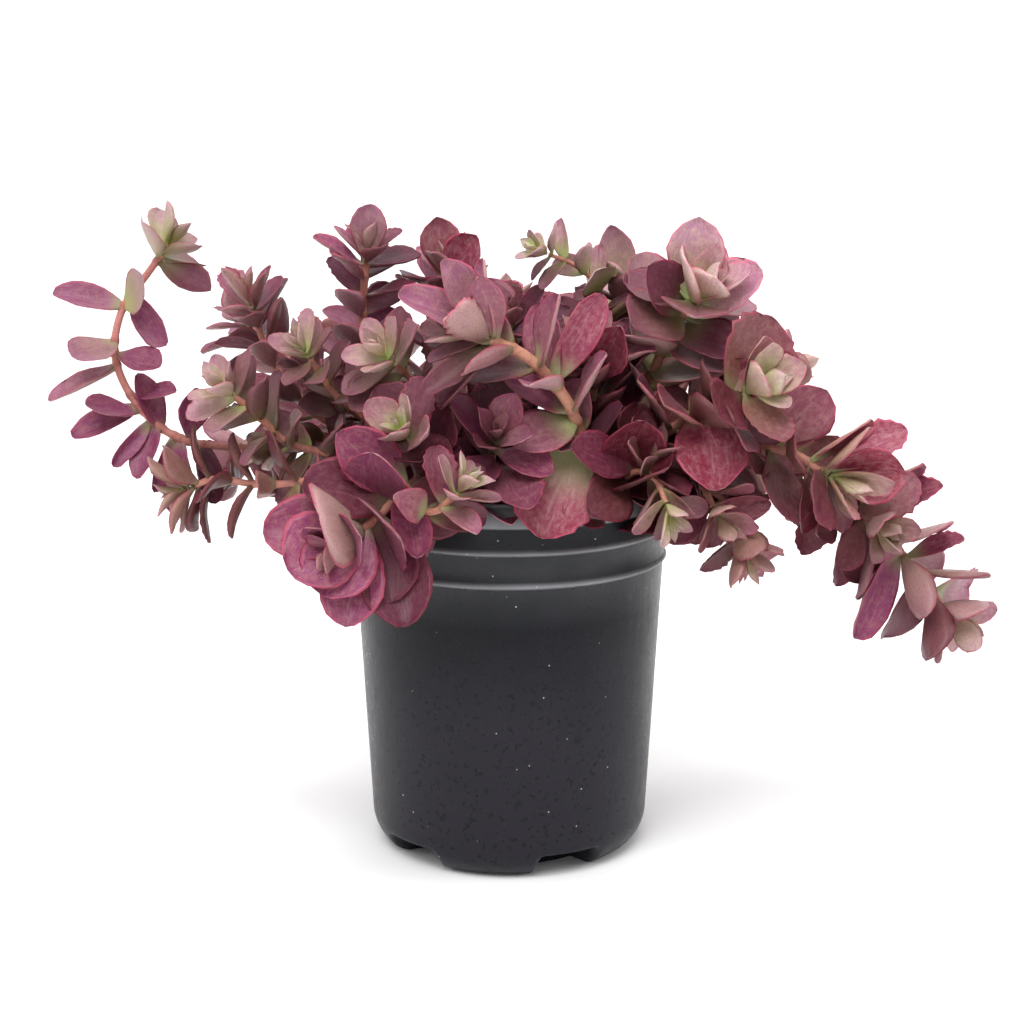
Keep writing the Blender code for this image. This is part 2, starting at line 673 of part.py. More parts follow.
def grow_rosette(row, grown):
    """The bud past the stem's end and its pairs of leaves, from the outer pair in."""
    length, share, pairs, bend = row["rosette"]
    length *= MM
    limb = "rosette_" + row["name"]
    draw = random.Random(limb)
    _, end, axis, side = row["samples"][-1]
    foot = end + axis * GAP
    core = smooth_route([foot, foot + axis * length * BUD_SHARE / 2, foot + axis * length * BUD_SHARE])
    radius = row["radius"][1] * MM
    joints = [(0.0, 0.0, math.radians(row["roll"]), ())]
    shape = [], []
    add_stem(*shape, {"route": core, "radius": lambda d: radius, "joints": joints
                      + [(core[-1][0] * 0.6, 0.0, 0.0, ())], "bud": True})
    grown.append(solid_item(limb, *shape))
    for pair in range(pairs):
        depth = pair / max(pairs - 1, 1)
        distance = ROSETTE_SPACING * (0.55 + pair)
        base, axis, side = at(core, distance)
        turn = math.radians(row["roll"] + PAIR_TURNS[pair])
        growths = []
        for half in (0, math.pi):
            wanted = {
                "base": base,
                "axis": axis,
                "side": side,
                "turn": turn + half
                + math.radians(draw.uniform(-ROSETTE_TURN_SPREAD, ROSETTE_TURN_SPREAD)),
                "tilt": FIRST_TILT + (LAST_TILT - FIRST_TILT) * depth
                + draw.uniform(-ROSETTE_TILT_SPREAD, ROSETTE_TILT_SPREAD),
                "length": length * (1.0 - INNER_SHRINK * depth) * draw.uniform(0.92, 1.06),
                "share": share,
                "bend": bend,
                "twist": math.radians(draw.uniform(-ROSETTE_TWIST, ROSETTE_TWIST)),
                "cup": ROSETTE_CUP,
                "opening": opening_corners(base, axis, side, turn + half, radius),
            }
            rings = BROAD_RINGS if pair < 3 else NARROW_RINGS
            leaf = grow(limb, wanted, rings, grown)
            if leaf:
                growths.append((turn + half, "leaf", (leaf, rings)))
        joints.append((distance, PETIOLE_THICKNESS, turn, growths))
    joints.append((max(core[-1][0] * 0.72, distance + 1.5 * MM), 0.0, turn, ()))
    row["core"] = {"route": core, "radius": lambda d: radius * (1 if d < distance else 0.8),
                   "joints": joints, "bud": True}


def place_leaves(row, grown):
    """The leaves whose place and direction are set one by one."""
    row["joints"] = []
    route = row["samples"]
    for point, direction, upper, length, share, bend in row["placed"]:
        distance = min(route, key=lambda sample: (sample[1] - world(point)).length)[0]
        base, axis, side = at(route, distance)
        forward = Vector(direction).normalized()
        face = Vector(upper).normalized()
        face = (face - forward * face.dot(forward)).normalized()
        turn = math.atan2(forward.dot(axis.cross(side)), forward.dot(side))
        radius = tapered(row, route[-1][0])(distance)
        leaf = {"base": base, "forward": forward, "face": face, "length": length * MM,
                "width": length * share * MM, "bend": bend, "cup": STEM_CUP,
                "opening": opening_corners(base, axis, side, turn, radius)}
        grown.append(solid_item(row["name"], *leaf_shape(leaf, BROAD_RINGS), is_leaf=True))
        row["joints"].append((distance, PETIOLE_THICKNESS, turn, [(turn, "leaf", (leaf, BROAD_RINGS))]))


def grow_stem_leaves(row, grown):
    """Opposite pairs along the stem, each pair a quarter turn on from the last."""
    bare, spacing, length, share, tilt, bend = row["leaves"]
    draw = random.Random(row["name"])
    route = row["samples"]
    reach = route[-1][0]
    radius = tapered(row, reach)
    distance, pair = reach - 0.7 * spacing * MM, 0
    while distance > reach * bare:
        base, axis, side = at(route, distance)
        turn = math.radians(row["roll"] + 45 + 90 * pair)
        growths = []
        for half in (0, math.pi):
            wanted = {
                "base": base,
                "axis": axis,
                "side": side,
                "turn": turn + half + math.radians(draw.uniform(-STEM_TURN_SPREAD, STEM_TURN_SPREAD)),
                "tilt": tilt + draw.uniform(-STEM_TILT_SPREAD, STEM_TILT_SPREAD),
                "length": length * draw.uniform(0.86, 1.08) * MM,
                "share": share * draw.uniform(0.92, 1.08),
                "bend": bend + draw.uniform(-0.15, 0.15),
                "twist": math.radians(draw.uniform(-STEM_TWIST, STEM_TWIST)),
                "cup": STEM_CUP,
                "opening": opening_corners(base, axis, side, turn + half, radius(distance)),
            }
            rings = BROAD_RINGS if share > 0.41 else NARROW_RINGS
            leaf = grow(row["name"], wanted, rings, grown)
            if leaf:
                growths.append((turn + half, "leaf", (leaf, rings)))
        if growths:
            row["joints"].append((distance, PETIOLE_THICKNESS, turn, growths))
        distance -= spacing * MM
        pair += 1


def stem_of(row):
    """The finished stem: its leaf joints, its bends between them and its forks."""
    route = row["samples"]
    reach = route[-1][0]
    joints = list(row["joints"])
    for fork in PLAN:
        if fork["parent"] == row["name"]:
            _, axis, side = at(route, fork["fork"])
            away = at(fork["samples"], FORK_LEAD)[0] - at(route, fork["fork"])[0]
            turn = math.atan2(away.dot(axis.cross(side)), away.dot(side))
            height = 2 * fork["radius"][0] * MM
            joints = [j for j in joints if abs(j[0] - fork["fork"]) > height]
            joints.append((fork["fork"], height, turn, [(turn, "stem", stem_of(fork))]))
    count = max(2, round(reach / STEM_STEP))
    for i in range(count + 1):
        distance = reach * i / count
        starts_in_stock = row["parent"] and distance < 4 * MM
        if not starts_in_stock and all(abs(distance - j[0]) > 3 * MM for j in joints):
            turn = min(joints, key=lambda j: abs(j[0] - distance))[2] if joints else 0.0
            joints.append((distance, 0.0, turn, ()))
    return {"route": route, "radius": tapered(row, reach), "joints": joints, "bud": False}


def add_plant_solid(name, stem, made_of):
    points, faces = [], []
    add_stem(points, faces, stem)
    add_object(name, points, faces, made_of)


def main():
    for item in list(bpy.data.objects):
        bpy.data.objects.remove(item)
    grown = [solid_item("pot", *make_pot()), solid_item("potting_mix", *make_mix())]
    lay_stems(grown)
    for row in PLAN:
        place_leaves(row, grown)
    for row in PLAN:
        grow_rosette(row, grown)
    for row in PLAN:
        grow_stem_leaves(row, grown)

    stem_finish = material("sedum_stem_and_leaf", STEM_FINISH)
    rosette_finish = material("sedum_rosette_leaf", ROSETTE_FINISH)
    for row in PLAN:
        if row["parent"] is None:
            add_plant_solid(row["node"], stem_of(row), stem_finish)
        add_plant_solid("rosette_" + row["name"], row["core"], rosette_finish)


main()
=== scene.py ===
# %% [markdown]
# # A potted sedum
# This lesson dresses a plain model of a potted trailing sedum. The plain model, the frame, fixes
# where every stem, rosette and the pot are. Each piece made here takes the place of one of its
# nodes, so the looks can be rich while the sizes stay those of the frame.

import json
import math
import random

import bmesh
import bpy
import numpy as np
from mathutils import Matrix, Vector
from mathutils.bvhtree import BVHTree

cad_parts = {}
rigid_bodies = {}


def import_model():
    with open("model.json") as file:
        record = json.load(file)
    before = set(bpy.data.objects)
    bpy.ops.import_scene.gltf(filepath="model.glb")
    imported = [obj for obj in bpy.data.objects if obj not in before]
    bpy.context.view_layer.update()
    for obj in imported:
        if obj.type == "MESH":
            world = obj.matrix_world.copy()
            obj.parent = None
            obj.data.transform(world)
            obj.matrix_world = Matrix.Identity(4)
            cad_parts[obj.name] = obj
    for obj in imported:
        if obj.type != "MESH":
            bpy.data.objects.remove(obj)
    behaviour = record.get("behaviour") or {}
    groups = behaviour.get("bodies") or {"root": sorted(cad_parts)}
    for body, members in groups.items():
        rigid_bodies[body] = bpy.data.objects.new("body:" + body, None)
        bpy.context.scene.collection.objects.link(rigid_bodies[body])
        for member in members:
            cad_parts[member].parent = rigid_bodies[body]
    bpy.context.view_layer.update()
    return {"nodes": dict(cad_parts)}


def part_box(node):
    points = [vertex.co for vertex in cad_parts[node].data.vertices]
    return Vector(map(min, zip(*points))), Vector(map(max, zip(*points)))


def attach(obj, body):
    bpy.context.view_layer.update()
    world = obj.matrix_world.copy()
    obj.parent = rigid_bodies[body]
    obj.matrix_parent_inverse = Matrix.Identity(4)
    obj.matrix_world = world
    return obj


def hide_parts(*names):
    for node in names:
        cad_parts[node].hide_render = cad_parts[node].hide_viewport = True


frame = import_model()
MM = 0.001
print("nodes in the frame:", len(frame["nodes"]))

# %% [markdown]
# ## Small tools
# Colours are written as the hex values that a paint program shows, and one function turns them
# into the linear numbers that Blender's shaders work with. One more function adds a node to any
# tree, sets its options and fills its inputs, so that a tree reads from top to bottom. An input
# may be given a whole node: then its first output that is in use is joined to it.

# %% Colour and node helpers
def linear(hex_colour):
    """An sRGB hex value such as "#8a4a5e" as a linear colour with alpha."""
    values = [int(hex_colour[i:i + 2], 16) / 255 for i in (1, 3, 5)]
    return tuple(v / 12.92 if v <= 0.04045 else ((v + 0.055) / 1.055) ** 2.4 for v in values) + (1.0,)


def feed(tree, node, inputs):
    """Fills a node's inputs. Each takes a value, a hex colour, a socket or another node."""
    for name, value in inputs.items():
        if isinstance(value, bpy.types.Node):
            value = next(socket for socket in value.outputs if socket.enabled)
        if isinstance(value, bpy.types.NodeSocket):
            tree.links.new(value, node.inputs[name])
        elif isinstance(value, str) and value.startswith("#"):
            node.inputs[name].default_value = linear(value)
        else:
            node.inputs[name].default_value = value


def add_node(tree, kind, inputs=None, **settings):
    """Adds a node. settings go on the node itself, and inputs fill its sockets."""
    made = tree.nodes.new(kind)
    for name, value in settings.items():
        setattr(made, name, value)
    feed(tree, made, inputs or {})
    return made


def new_material(name):
    """An empty node material: its tree, and its Principled shader joined to the output."""
    made = bpy.data.materials.new(name)
    made.use_nodes = True
    tree = made.node_tree
    tree.nodes.clear()
    shader = add_node(tree, "ShaderNodeBsdfPrincipled")
    add_node(tree, "ShaderNodeOutputMaterial", {"Surface": shader})
    return made, tree, shader


def per_mm(size):
    """A texture scale that gives features of this size, in millimetres, on Object coordinates."""
    return 1.0 / (size * MM)


def linked(item):
    """Adds an object to the scene and gives it back."""
    bpy.context.scene.collection.objects.link(item)
    return item


def mesh_object(name, points, faces, material):
    """A smooth object at the origin from points and faces, with its faces turned outward."""
    mesh = bpy.data.meshes.new(name)
    mesh.from_pydata([tuple(p) for p in points], [], faces)
    work = bmesh.new()
    work.from_mesh(mesh)
    bmesh.ops.recalc_face_normals(work, faces=work.faces)
    work.to_mesh(mesh)
    work.free()
    mesh.materials.append(material)
    mesh.polygons.foreach_set("use_smooth", [True] * len(mesh.polygons))
    return linked(bpy.data.objects.new(name, mesh))


print("#8a4a5e in linear light is", [round(v, 3) for v in linear("#8a4a5e")])

# %% [markdown]
# ## The camera
# A plant this size is pictured from a little above its rim, from about a metre away. The lens is
# long enough that the pot's sides stay nearly parallel. Heights and distances are in millimetres.

# %% Camera
CAMERA_DISTANCE = 900
CAMERA_HEIGHT = 349
CAMERA_ASIDE = 1.3
CAMERA_DOWN = 11.94
LENS = 68.7

camera_data = bpy.data.cameras.new("camera")
camera_data.lens = LENS
camera_data.sensor_width = 36
camera = linked(bpy.data.objects.new("camera", camera_data))
camera.location = (CAMERA_ASIDE * MM, -CAMERA_DISTANCE * MM, CAMERA_HEIGHT * MM)
camera.rotation_euler = (math.radians(90 - CAMERA_DOWN), 0, 0)
bpy.context.scene.camera = camera
print("lens", LENS, "mm, field of view", round(math.degrees(camera_data.angle), 1), "degrees")

# %% [markdown]
# ## Studio
# A product picture stands on a white sweep: a floor that curves up into a wall, so that no
# horizon shows. A big softbox above and in front is the key, a weaker one on each side keeps the
# pot's edges readable, and the white world fills the rest. The plain Standard view keeps
# the leaf colours as they were mixed.

# %% Sweep
SWEEP_HALF_WIDTH = 3.0
SWEEP_FRONT = -2.0
SWEEP_BACK = 2.2
SWEEP_BEND = 0.9
SWEEP_TOP = 3.0
BEND_STEPS = 24

paper, tree, shader = new_material("matte_white_background_paper")
feed(tree, shader, {"Base Color": "#ffffff", "Roughness": 0.9})
profile = [(SWEEP_FRONT, 0.0)]
for i in range(BEND_STEPS + 1):
    a = math.pi / 2 * i / BEND_STEPS
    profile.append((SWEEP_BACK + SWEEP_BEND * math.sin(a), SWEEP_BEND * (1 - math.cos(a))))
profile.append((SWEEP_BACK + SWEEP_BEND, SWEEP_TOP))
points = [(x, y, z) for y, z in profile for x in (-SWEEP_HALF_WIDTH, SWEEP_HALF_WIDTH)]
faces = [(2 * i, 2 * i + 1, 2 * i + 3, 2 * i + 2) for i in range(len(profile) - 1)]
sweep = mesh_object("studio_sweep", points, faces, paper)
print("sweep:", len(faces), "faces")

# %% Lights
WORLD_STRENGTH = 0.62
KEY_POWER = 34
SIDE_POWER = 7
WALL_POWER = 44

world = bpy.data.worlds.new("white_studio")
bpy.context.scene.world = world
world.use_nodes = True
background = world.node_tree.nodes["Background"]
background.inputs["Color"].default_value = linear("#ffffff")
background.inputs["Strength"].default_value = WORLD_STRENGTH
bpy.context.scene.view_settings.view_transform = "Standard"


def softbox(name, place, size, power, target=(0, 0, 0.18)):
    """A square area light that faces the middle of the plant, unless it is aimed elsewhere."""
    data = bpy.data.lights.new(name, "AREA")
    data.shape = "SQUARE"
    data.size = size
    data.energy = power
    lamp = linked(bpy.data.objects.new(name, data))
    lamp.location = place
    aim = Vector(target) - Vector(place)
    lamp.rotation_euler = aim.to_track_quat("-Z", "Y").to_euler()


softbox("key_light", (-0.2, -1.1, 1.75), 1.2, KEY_POWER)
softbox("left_light", (-1.7, 0.1, 0.7), 0.9, SIDE_POWER)
softbox("right_light", (1.7, -0.1, 0.7), 0.9, SIDE_POWER)
softbox("wall_light", (0, 0.9, 2.6), 1.6, WALL_POWER, (0, 3.0, 0.6))
print("lights:", len(bpy.data.lights))

# %% [markdown]
# ## The pot's plastic
# A nursery pot is blow-moulded black polyethylene. It comes out of the mould satin, with a very
# fine grain, and picks up handling scuffs, dried water marks and grains of dust. The marks are
# darker and smoother than the rest. The dust is a sprinkle of tiny pale grains. A pale highlight
# line is painted along the bead crests and the lip. The colour is painted in coats, each laid over
# the last one by its own share.

# %% Pot material
GRAIN = 0.45
WATER_MARK = 2.6
CLOUD = 45
DUST = 4.5
DUST_SHARE = 0.28
SCUFFS_PER_METRE = (220, 220, 60)
TONE_TOP = 150 * MM
TONE_BOTTOM = 50 * MM

pot_plastic, tree, shader = new_material("scuffed_black_polyethylene")
place = add_node(tree, "ShaderNodeTexCoord").outputs["Object"]
height = add_node(tree, "ShaderNodeSeparateXYZ", {0: place}).outputs["Z"]
clouds = add_node(tree, "ShaderNodeTexNoise", {"Vector": place, "Scale": per_mm(CLOUD), "Detail": 3})
marks = add_node(tree, "ShaderNodeTexNoise", {
    "Vector": place, "Scale": per_mm(WATER_MARK), "Detail": 2, "Roughness": 0.4})
grain = add_node(tree, "ShaderNodeTexNoise", {"Vector": place, "Scale": per_mm(GRAIN), "Detail": 2})
specks = add_node(tree, "ShaderNodeTexVoronoi", {"Vector": place, "Scale": per_mm(DUST)})
stretch = add_node(tree, "ShaderNodeMapping", {"Vector": place, "Scale": SCUFFS_PER_METRE})
scuffs = add_node(tree, "ShaderNodeTexNoise", {
    "Vector": stretch, "Scale": 1.0, "Detail": 4, "Distortion": 1.5})

# The plastic is paler and more purple-grey towards the bottom, in soft clouds.
lower_part = add_node(tree, "ShaderNodeMapRange", {
    "Value": height, "From Min": TONE_TOP, "From Max": TONE_BOTTOM}, interpolation_type="SMOOTHSTEP")
toward_bottom = add_node(tree, "ShaderNodeMath", {0: clouds, 1: 0.9, 2: lower_part}, operation="MULTIPLY_ADD")
shares = {}
for name, pattern, low, high, start, end in (
        ("paler_below", toward_bottom, 0.35, 1.35, 0.0, 1.0), ("marked", marks, 0.60, 0.64, 0.0, 0.62),
        ("dusty", specks, 0.05, 0.09, 1.0, 0.0), ("uneven", clouds, 0.3, 0.7, 0.5, 1.0),
        ("satin", scuffs, 0.3, 0.75, 0.30, 0.42)):
    shares[name] = add_node(tree, "ShaderNodeMapRange", {
        "Value": pattern, "From Min": low, "From Max": high, "To Min": start, "To Max": end})
some = add_node(tree, "ShaderNodeMath", {0: specks.outputs["Color"], 1: 1 - DUST_SHARE},
                operation="GREATER_THAN")
dust = add_node(tree, "ShaderNodeMath", {0: shares["dusty"], 1: some}, operation="MULTIPLY")
# Painted highlight: a pale line along the bead crests and the lip, broken up by the clouds.
highlight_line = add_node(tree, "ShaderNodeAttribute", attribute_name="crest_highlight").outputs["Fac"]
painted_highlight = add_node(tree, "ShaderNodeMath", {0: highlight_line, 1: shares["uneven"]}, operation="MULTIPLY")

finish = "#04070d"
for share, coat in ((shares["paler_below"], "#211f26"), (shares["marked"], "#0b0b0e"),
                    (painted_highlight, "#97989c"), (dust, "#b9b8b2")):
    finish = add_node(tree, "ShaderNodeMix", {"Factor": share, 6: finish, 7: coat}, data_type="RGBA")
smooth_marks = add_node(tree, "ShaderNodeMath", {0: shares["marked"], 1: -0.12, 2: shares["satin"]},
                        operation="MULTIPLY_ADD")
relief = add_node(tree, "ShaderNodeMath", {0: scuffs, 1: 0.6, 2: grain}, operation="MULTIPLY_ADD")
bump = add_node(tree, "ShaderNodeBump", {"Height": relief, "Strength": 0.35, "Distance": 0.15 * MM})
feed(tree, shader, {"Base Color": finish, "Roughness": smooth_marks, "Normal": bump,
                    "IOR": 1.5, "Specular IOR Level": 0.16})
print("pot material nodes:", len(tree.nodes))

# %% [markdown]
# ## The pot
# The pot is a body of revolution: a heel rounded into a tapered wall, two beads that stiffen it,
# and a rolled lip. So its half section is drawn once, with arcs for the round stretches, and
# turned about the axis. It stands on feet that the mould presses out between flat recesses, so
# the recesses are pushed into the turned mesh, with sloping sides as a mould needs.

# %% Pot sizes
pot_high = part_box("pot")[1]
POT_HEIGHT = pot_high.z / MM
RIM_RADIUS = pot_high.x / MM
SHOULDER_INSET = 4.4
HEEL_INSET = 11.2
SHOULDER_RADIUS = RIM_RADIUS - SHOULDER_INSET
HEEL_RADIUS = RIM_RADIUS - HEEL_INSET
FOOT_RADIUS = 52
HEEL_HEIGHT = 17
WALL = 1.6
FLOOR = 2
LIP_HEIGHT = 11
LIP_THICKNESS = 3.4
BEAD_DROPS = (37.5, 22.5)
BEAD_HEIGHT = 1.5
BEAD_WIDTH = 3.6
BEAD_STEPS = 8
LIP_FILLET = 1.2
LIP_EDGE = 1.0
THROAT = 3
FOOT_COUNT = 5
FRONT_FOOT_TURN = -10
RECESS_ANGLE = 27
RECESS_SLOPE = 5
RECESS_HEIGHT = 12
RECESS_INNER_RADIUS = 43
RECESS_END = 3.0
UNDERSIDE_RINGS = (0.0, 20.0, 38.0, RECESS_INNER_RADIUS, 44.5, 46.0, 49.0)
WALL_RINGS = (30, 60, 90, 120)
POT_SIDES = 240
HEEL_STEPS = 20
BORE_HEEL_STEPS = 8
EDGE_STEPS = 4
ROLL_STEPS = 10
HIGHLIGHT_WIDTH = 1.2
print("pot:", round(POT_HEIGHT), "mm high,", round(2 * RIM_RADIUS), "mm across the lip")

# %% [markdown]
# The half section runs from the middle of the underside out, up the wall, over the lip and down
# the bore to the middle of the floor. Points stand close together only where it bends.


# %% Pot section
def arc(centre, radii, start, end, steps):
    """Points of an elliptical arc in the (radius, height) plane, in degrees."""
    turns = [math.radians(start + (end - start) * i / steps) for i in range(steps + 1)]
    return [(centre[0] + radii[0] * math.cos(a), centre[1] + radii[1] * math.sin(a)) for a in turns]


def wall_radius(height):
    """The body's outer radius, straight from the heel to the shoulder and on to the lip."""
    shoulder = POT_HEIGHT - max(BEAD_DROPS)
    return HEEL_RADIUS + (SHOULDER_RADIUS - HEEL_RADIUS) * (height - HEEL_HEIGHT) / (shoulder - HEEL_HEIGHT)


def bead(height):
    """A stiffening bead: a smooth bump around the wall, steeper below than above."""
    rise = []
    for i in range(BEAD_STEPS + 1):
        t = i / BEAD_STEPS
        at_height = height + BEAD_WIDTH * (t - 0.5)
        rise.append((wall_radius(at_height) + BEAD_HEIGHT * math.sin(math.pi * t**0.8) ** 1.5, at_height))
    return rise


lip_low = POT_HEIGHT - LIP_HEIGHT
roll = LIP_THICKNESS / 2
heel_width = HEEL_RADIUS - FOOT_RADIUS
outline = [(r, 0.0) for r in UNDERSIDE_RINGS]
outline += arc((FOOT_RADIUS, HEEL_HEIGHT), (heel_width, HEEL_HEIGHT), -90, 0, HEEL_STEPS)
outline += [(wall_radius(h), h) for h in WALL_RINGS]
outline += bead(POT_HEIGHT - BEAD_DROPS[0]) + bead(POT_HEIGHT - BEAD_DROPS[1])
outline += arc((wall_radius(lip_low) + LIP_FILLET, lip_low - LIP_FILLET), (LIP_FILLET, LIP_FILLET),
               180, 90, EDGE_STEPS)
outline += arc((RIM_RADIUS - LIP_EDGE, lip_low + LIP_EDGE), (LIP_EDGE, LIP_EDGE), -90, 0, EDGE_STEPS)
outline += arc((RIM_RADIUS - roll, POT_HEIGHT - roll), (roll, roll), 0, 180, ROLL_STEPS)
bore = wall_radius(lip_low) - WALL
INSIDE_FROM = len(outline)
outline += [(RIM_RADIUS - LIP_THICKNESS, lip_low + THROAT), (bore, lip_low)]
outline += arc((FOOT_RADIUS - WALL, HEEL_HEIGHT), (heel_width, HEEL_HEIGHT - FLOOR),
               0, -90, BORE_HEEL_STEPS)
outline += [(0.0, FLOOR)]
print("section points:", len(outline))

# %% [markdown]
# The section is turned in 240 steps, which keeps the lip round. The recesses lift the underside and
# the foot of the heel, and lift the floor inside by as much, so that the wall stays whole. A value on
# the bead crests and the lip tells the plastic where to paint a pale highlight line.


# %% Turn the pot and press in the recesses
def recess_depth(turn, radius):
    """How much of the full recess there is at a turn, in degrees, and a radius: 0 to 1."""
    pitch = 360 / FOOT_COUNT
    from_middle = abs((turn - FRONT_FOOT_TURN) % pitch - pitch / 2)
    side = (RECESS_ANGLE / 2 + RECESS_SLOPE / 2 - from_middle) / RECESS_SLOPE
    inward = (radius - RECESS_INNER_RADIUS) / RECESS_END
    share = max(0.0, min(1.0, side, inward))
    return share * share * (3 - 2 * share)


def turned(section, sides):
    """Points and faces of a section turned about Z, its first and last points on the axis."""
    made = [(0, 0, section[0][1]), (0, 0, section[-1][1])]
    for radius, height in section[1:-1]:
        for i in range(sides):
            a = 2 * math.pi * i / sides
            made.append((radius * math.sin(a), -radius * math.cos(a), height))
    quads, last = [], 2 + (len(section) - 3) * sides
    for i in range(sides):
        j = (i + 1) % sides
        quads += [(0, 2 + i, 2 + j), (1, last + j, last + i)]
        for k in range(2, last, sides):
            quads.append((k + i, k + sides + i, k + sides + j, k + j))
    return made, quads


points, faces = turned(outline, POT_SIDES)
pressed = []
for number, (x, y, z) in enumerate(points):
    radius, turn = math.hypot(x, y), math.degrees(math.atan2(x, -y))
    is_inside = number == 1 or number >= 2 + (INSIDE_FROM - 1) * POT_SIDES
    height = RECESS_HEIGHT + (FLOOR if is_inside else 0.0)
    if z < height and radius > RECESS_INNER_RADIUS:
        z += (height - z) * recess_depth(turn, radius)
    pressed.append((x * MM, y * MM, z * MM))
pot = mesh_object("nursery_pot", pressed, faces, pot_plastic)
# A painted highlight line on the bead crests and the lip, stored on the points for the plastic.
crest_highlight = pot.data.attributes.new("crest_highlight", "FLOAT", "POINT")
crests = [POT_HEIGHT - drop for drop in BEAD_DROPS] + [POT_HEIGHT, lip_low + 1]
crest_highlight.data.foreach_set("value", [
    max(math.exp(-((z / MM - crest) / HIGHLIGHT_WIDTH) ** 2) for crest in crests) for _, _, z in pressed])
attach(pot, "root")
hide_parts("pot")
print("pot:", len(pot.data.polygons), "faces")

# %% [markdown]
# ## The potting mix
# Nursery mix is composted bark and peat: dark, crumbly, with bark chips of a few millimetres and
# a few white grains of perlite. A low mound is made first. A Geometry Nodes tree then scatters
# three chip shapes over it, each turned and sized by a seeded random value, and turns the copies
# into real mesh.

# %% Potting mix material
FIBRE = 2.5
LUMP = 6

bark, tree, shader = new_material("composted_bark_and_peat")
place = add_node(tree, "ShaderNodeTexCoord").outputs["Object"]
fibres = add_node(tree, "ShaderNodeTexNoise", {"Vector": place, "Scale": per_mm(FIBRE), "Detail": 5})
lumps = add_node(tree, "ShaderNodeTexVoronoi", {"Vector": place, "Scale": per_mm(LUMP)}).outputs["Color"]
perlite = add_node(tree, "ShaderNodeAttribute", attribute_name="perlite").outputs["Fac"]
brown = "#1d130d"
for share, coat in ((fibres, "#4a3325"), (lumps, "#2c1d14"), (perlite, "#cfcabc")):
    brown = add_node(tree, "ShaderNodeMix", {"Factor": share, 6: brown, 7: coat}, data_type="RGBA")
bump = add_node(tree, "ShaderNodeBump", {"Height": fibres, "Strength": 0.6, "Distance": 0.5 * MM})
feed(tree, shader, {"Base Color": brown, "Normal": bump, "Roughness": 0.95})
print("bark material nodes:", len(tree.nodes))

# %% [markdown]
# ## From a tree to a mesh
# A Geometry Nodes tree is built in code with named inputs. It is hung on a source object for a
# moment, its inputs are set, and what it makes is copied out as a plain mesh that needs no tree.


# %% Turning a tree's result into a plain mesh
def input_of(tree, name):
    """The identifier of one of a tree's named inputs, which a modifier is set by."""
    return next(i.identifier for i in tree.interface.items_tree if i.name == name and i.in_out == "INPUT")


def grown_from(source, tree, values, name):
    """The mesh that a tree makes from an object, as a new plain object. The source is removed."""
    modifier = source.modifiers.new("grow", "NODES")
    modifier.node_group = tree
    for key, value in values.items():
        modifier[input_of(tree, key)] = value
    graph = bpy.context.evaluated_depsgraph_get()
    mesh = bpy.data.meshes.new_from_object(source.evaluated_get(graph), depsgraph=graph)
    mesh.name = name
    source.modifiers.remove(modifier)
    bpy.data.objects.remove(source)
    return linked(bpy.data.objects.new(name, mesh))


def new_tree(name, sockets):
    """A Geometry Nodes tree with a Geometry input and output and these further named inputs."""
    tree = bpy.data.node_groups.new(name, "GeometryNodeTree")
    tree.interface.new_socket("Geometry", in_out="INPUT", socket_type="NodeSocketGeometry")
    tree.interface.new_socket("Geometry", in_out="OUTPUT", socket_type="NodeSocketGeometry")
    for label, kind in sockets:
        tree.interface.new_socket(label, in_out="INPUT", socket_type="NodeSocket" + kind)
    return tree, tree.nodes.new("NodeGroupInput").outputs


print("trees so far:", len(bpy.data.node_groups))

# %% Chip shapes
CHIP_SHAPES = 3
CHIP_LENGTH = 1.5
CHIP_HEIGHT = 0.45
CHIP_ROUGHNESS = (0.7, 1.15)
chips = bpy.data.collections.new("chips")
draw = random.Random("chips")
for k in range(CHIP_SHAPES):
    mesh = bpy.data.meshes.new(f"chip_{k}")
    work = bmesh.new()
    bmesh.ops.create_icosphere(work, subdivisions=1, radius=0.5)
    for vertex in work.verts:
        flat = Vector((vertex.co.x * CHIP_LENGTH, vertex.co.y, vertex.co.z * CHIP_HEIGHT))
        vertex.co = flat * draw.uniform(*CHIP_ROUGHNESS)
    work.to_mesh(mesh)
    work.free()
    chips.objects.link(bpy.data.objects.new(f"chip_{k}", mesh))

# %% Scatter tree
SIZE_SEED = 7
WHITE_SEED = 11
scatter, given = new_tree("scatter_chips", (
    ("Chips", "Collection"), ("Per Square Metre", "Float"), ("Smallest", "Float"),
    ("Largest", "Float"), ("Perlite Share", "Float"), ("Seed", "Int"), ("Material", "Material")))
is_top = add_node(scatter, "GeometryNodeInputNamedAttribute", {"Name": "is_top"}, data_type="BOOLEAN")
spots = add_node(scatter, "GeometryNodeDistributePointsOnFaces", {
    "Mesh": given["Geometry"], "Density": given["Per Square Metre"], "Seed": given["Seed"],
    "Selection": is_top})
shapes = add_node(scatter, "GeometryNodeCollectionInfo", {
    "Collection": given["Chips"], "Separate Children": True})
turn = add_node(scatter, "FunctionNodeRandomValue", {1: (math.tau,) * 3, "Seed": given["Seed"]},
                data_type="FLOAT_VECTOR")
size = add_node(scatter, "FunctionNodeRandomValue", {
    2: given["Smallest"], 3: given["Largest"], "Seed": SIZE_SEED}, data_type="FLOAT")
chance = add_node(scatter, "FunctionNodeRandomValue", {2: 0.0, 3: 1.0, "Seed": WHITE_SEED},
                  data_type="FLOAT")
is_white = add_node(scatter, "FunctionNodeCompare", {0: chance, 1: given["Perlite Share"]},
                    operation="LESS_THAN")
tagged = add_node(scatter, "GeometryNodeStoreNamedAttribute", {
    "Geometry": spots, "Name": "perlite", "Value": is_white}, data_type="FLOAT", domain="POINT")
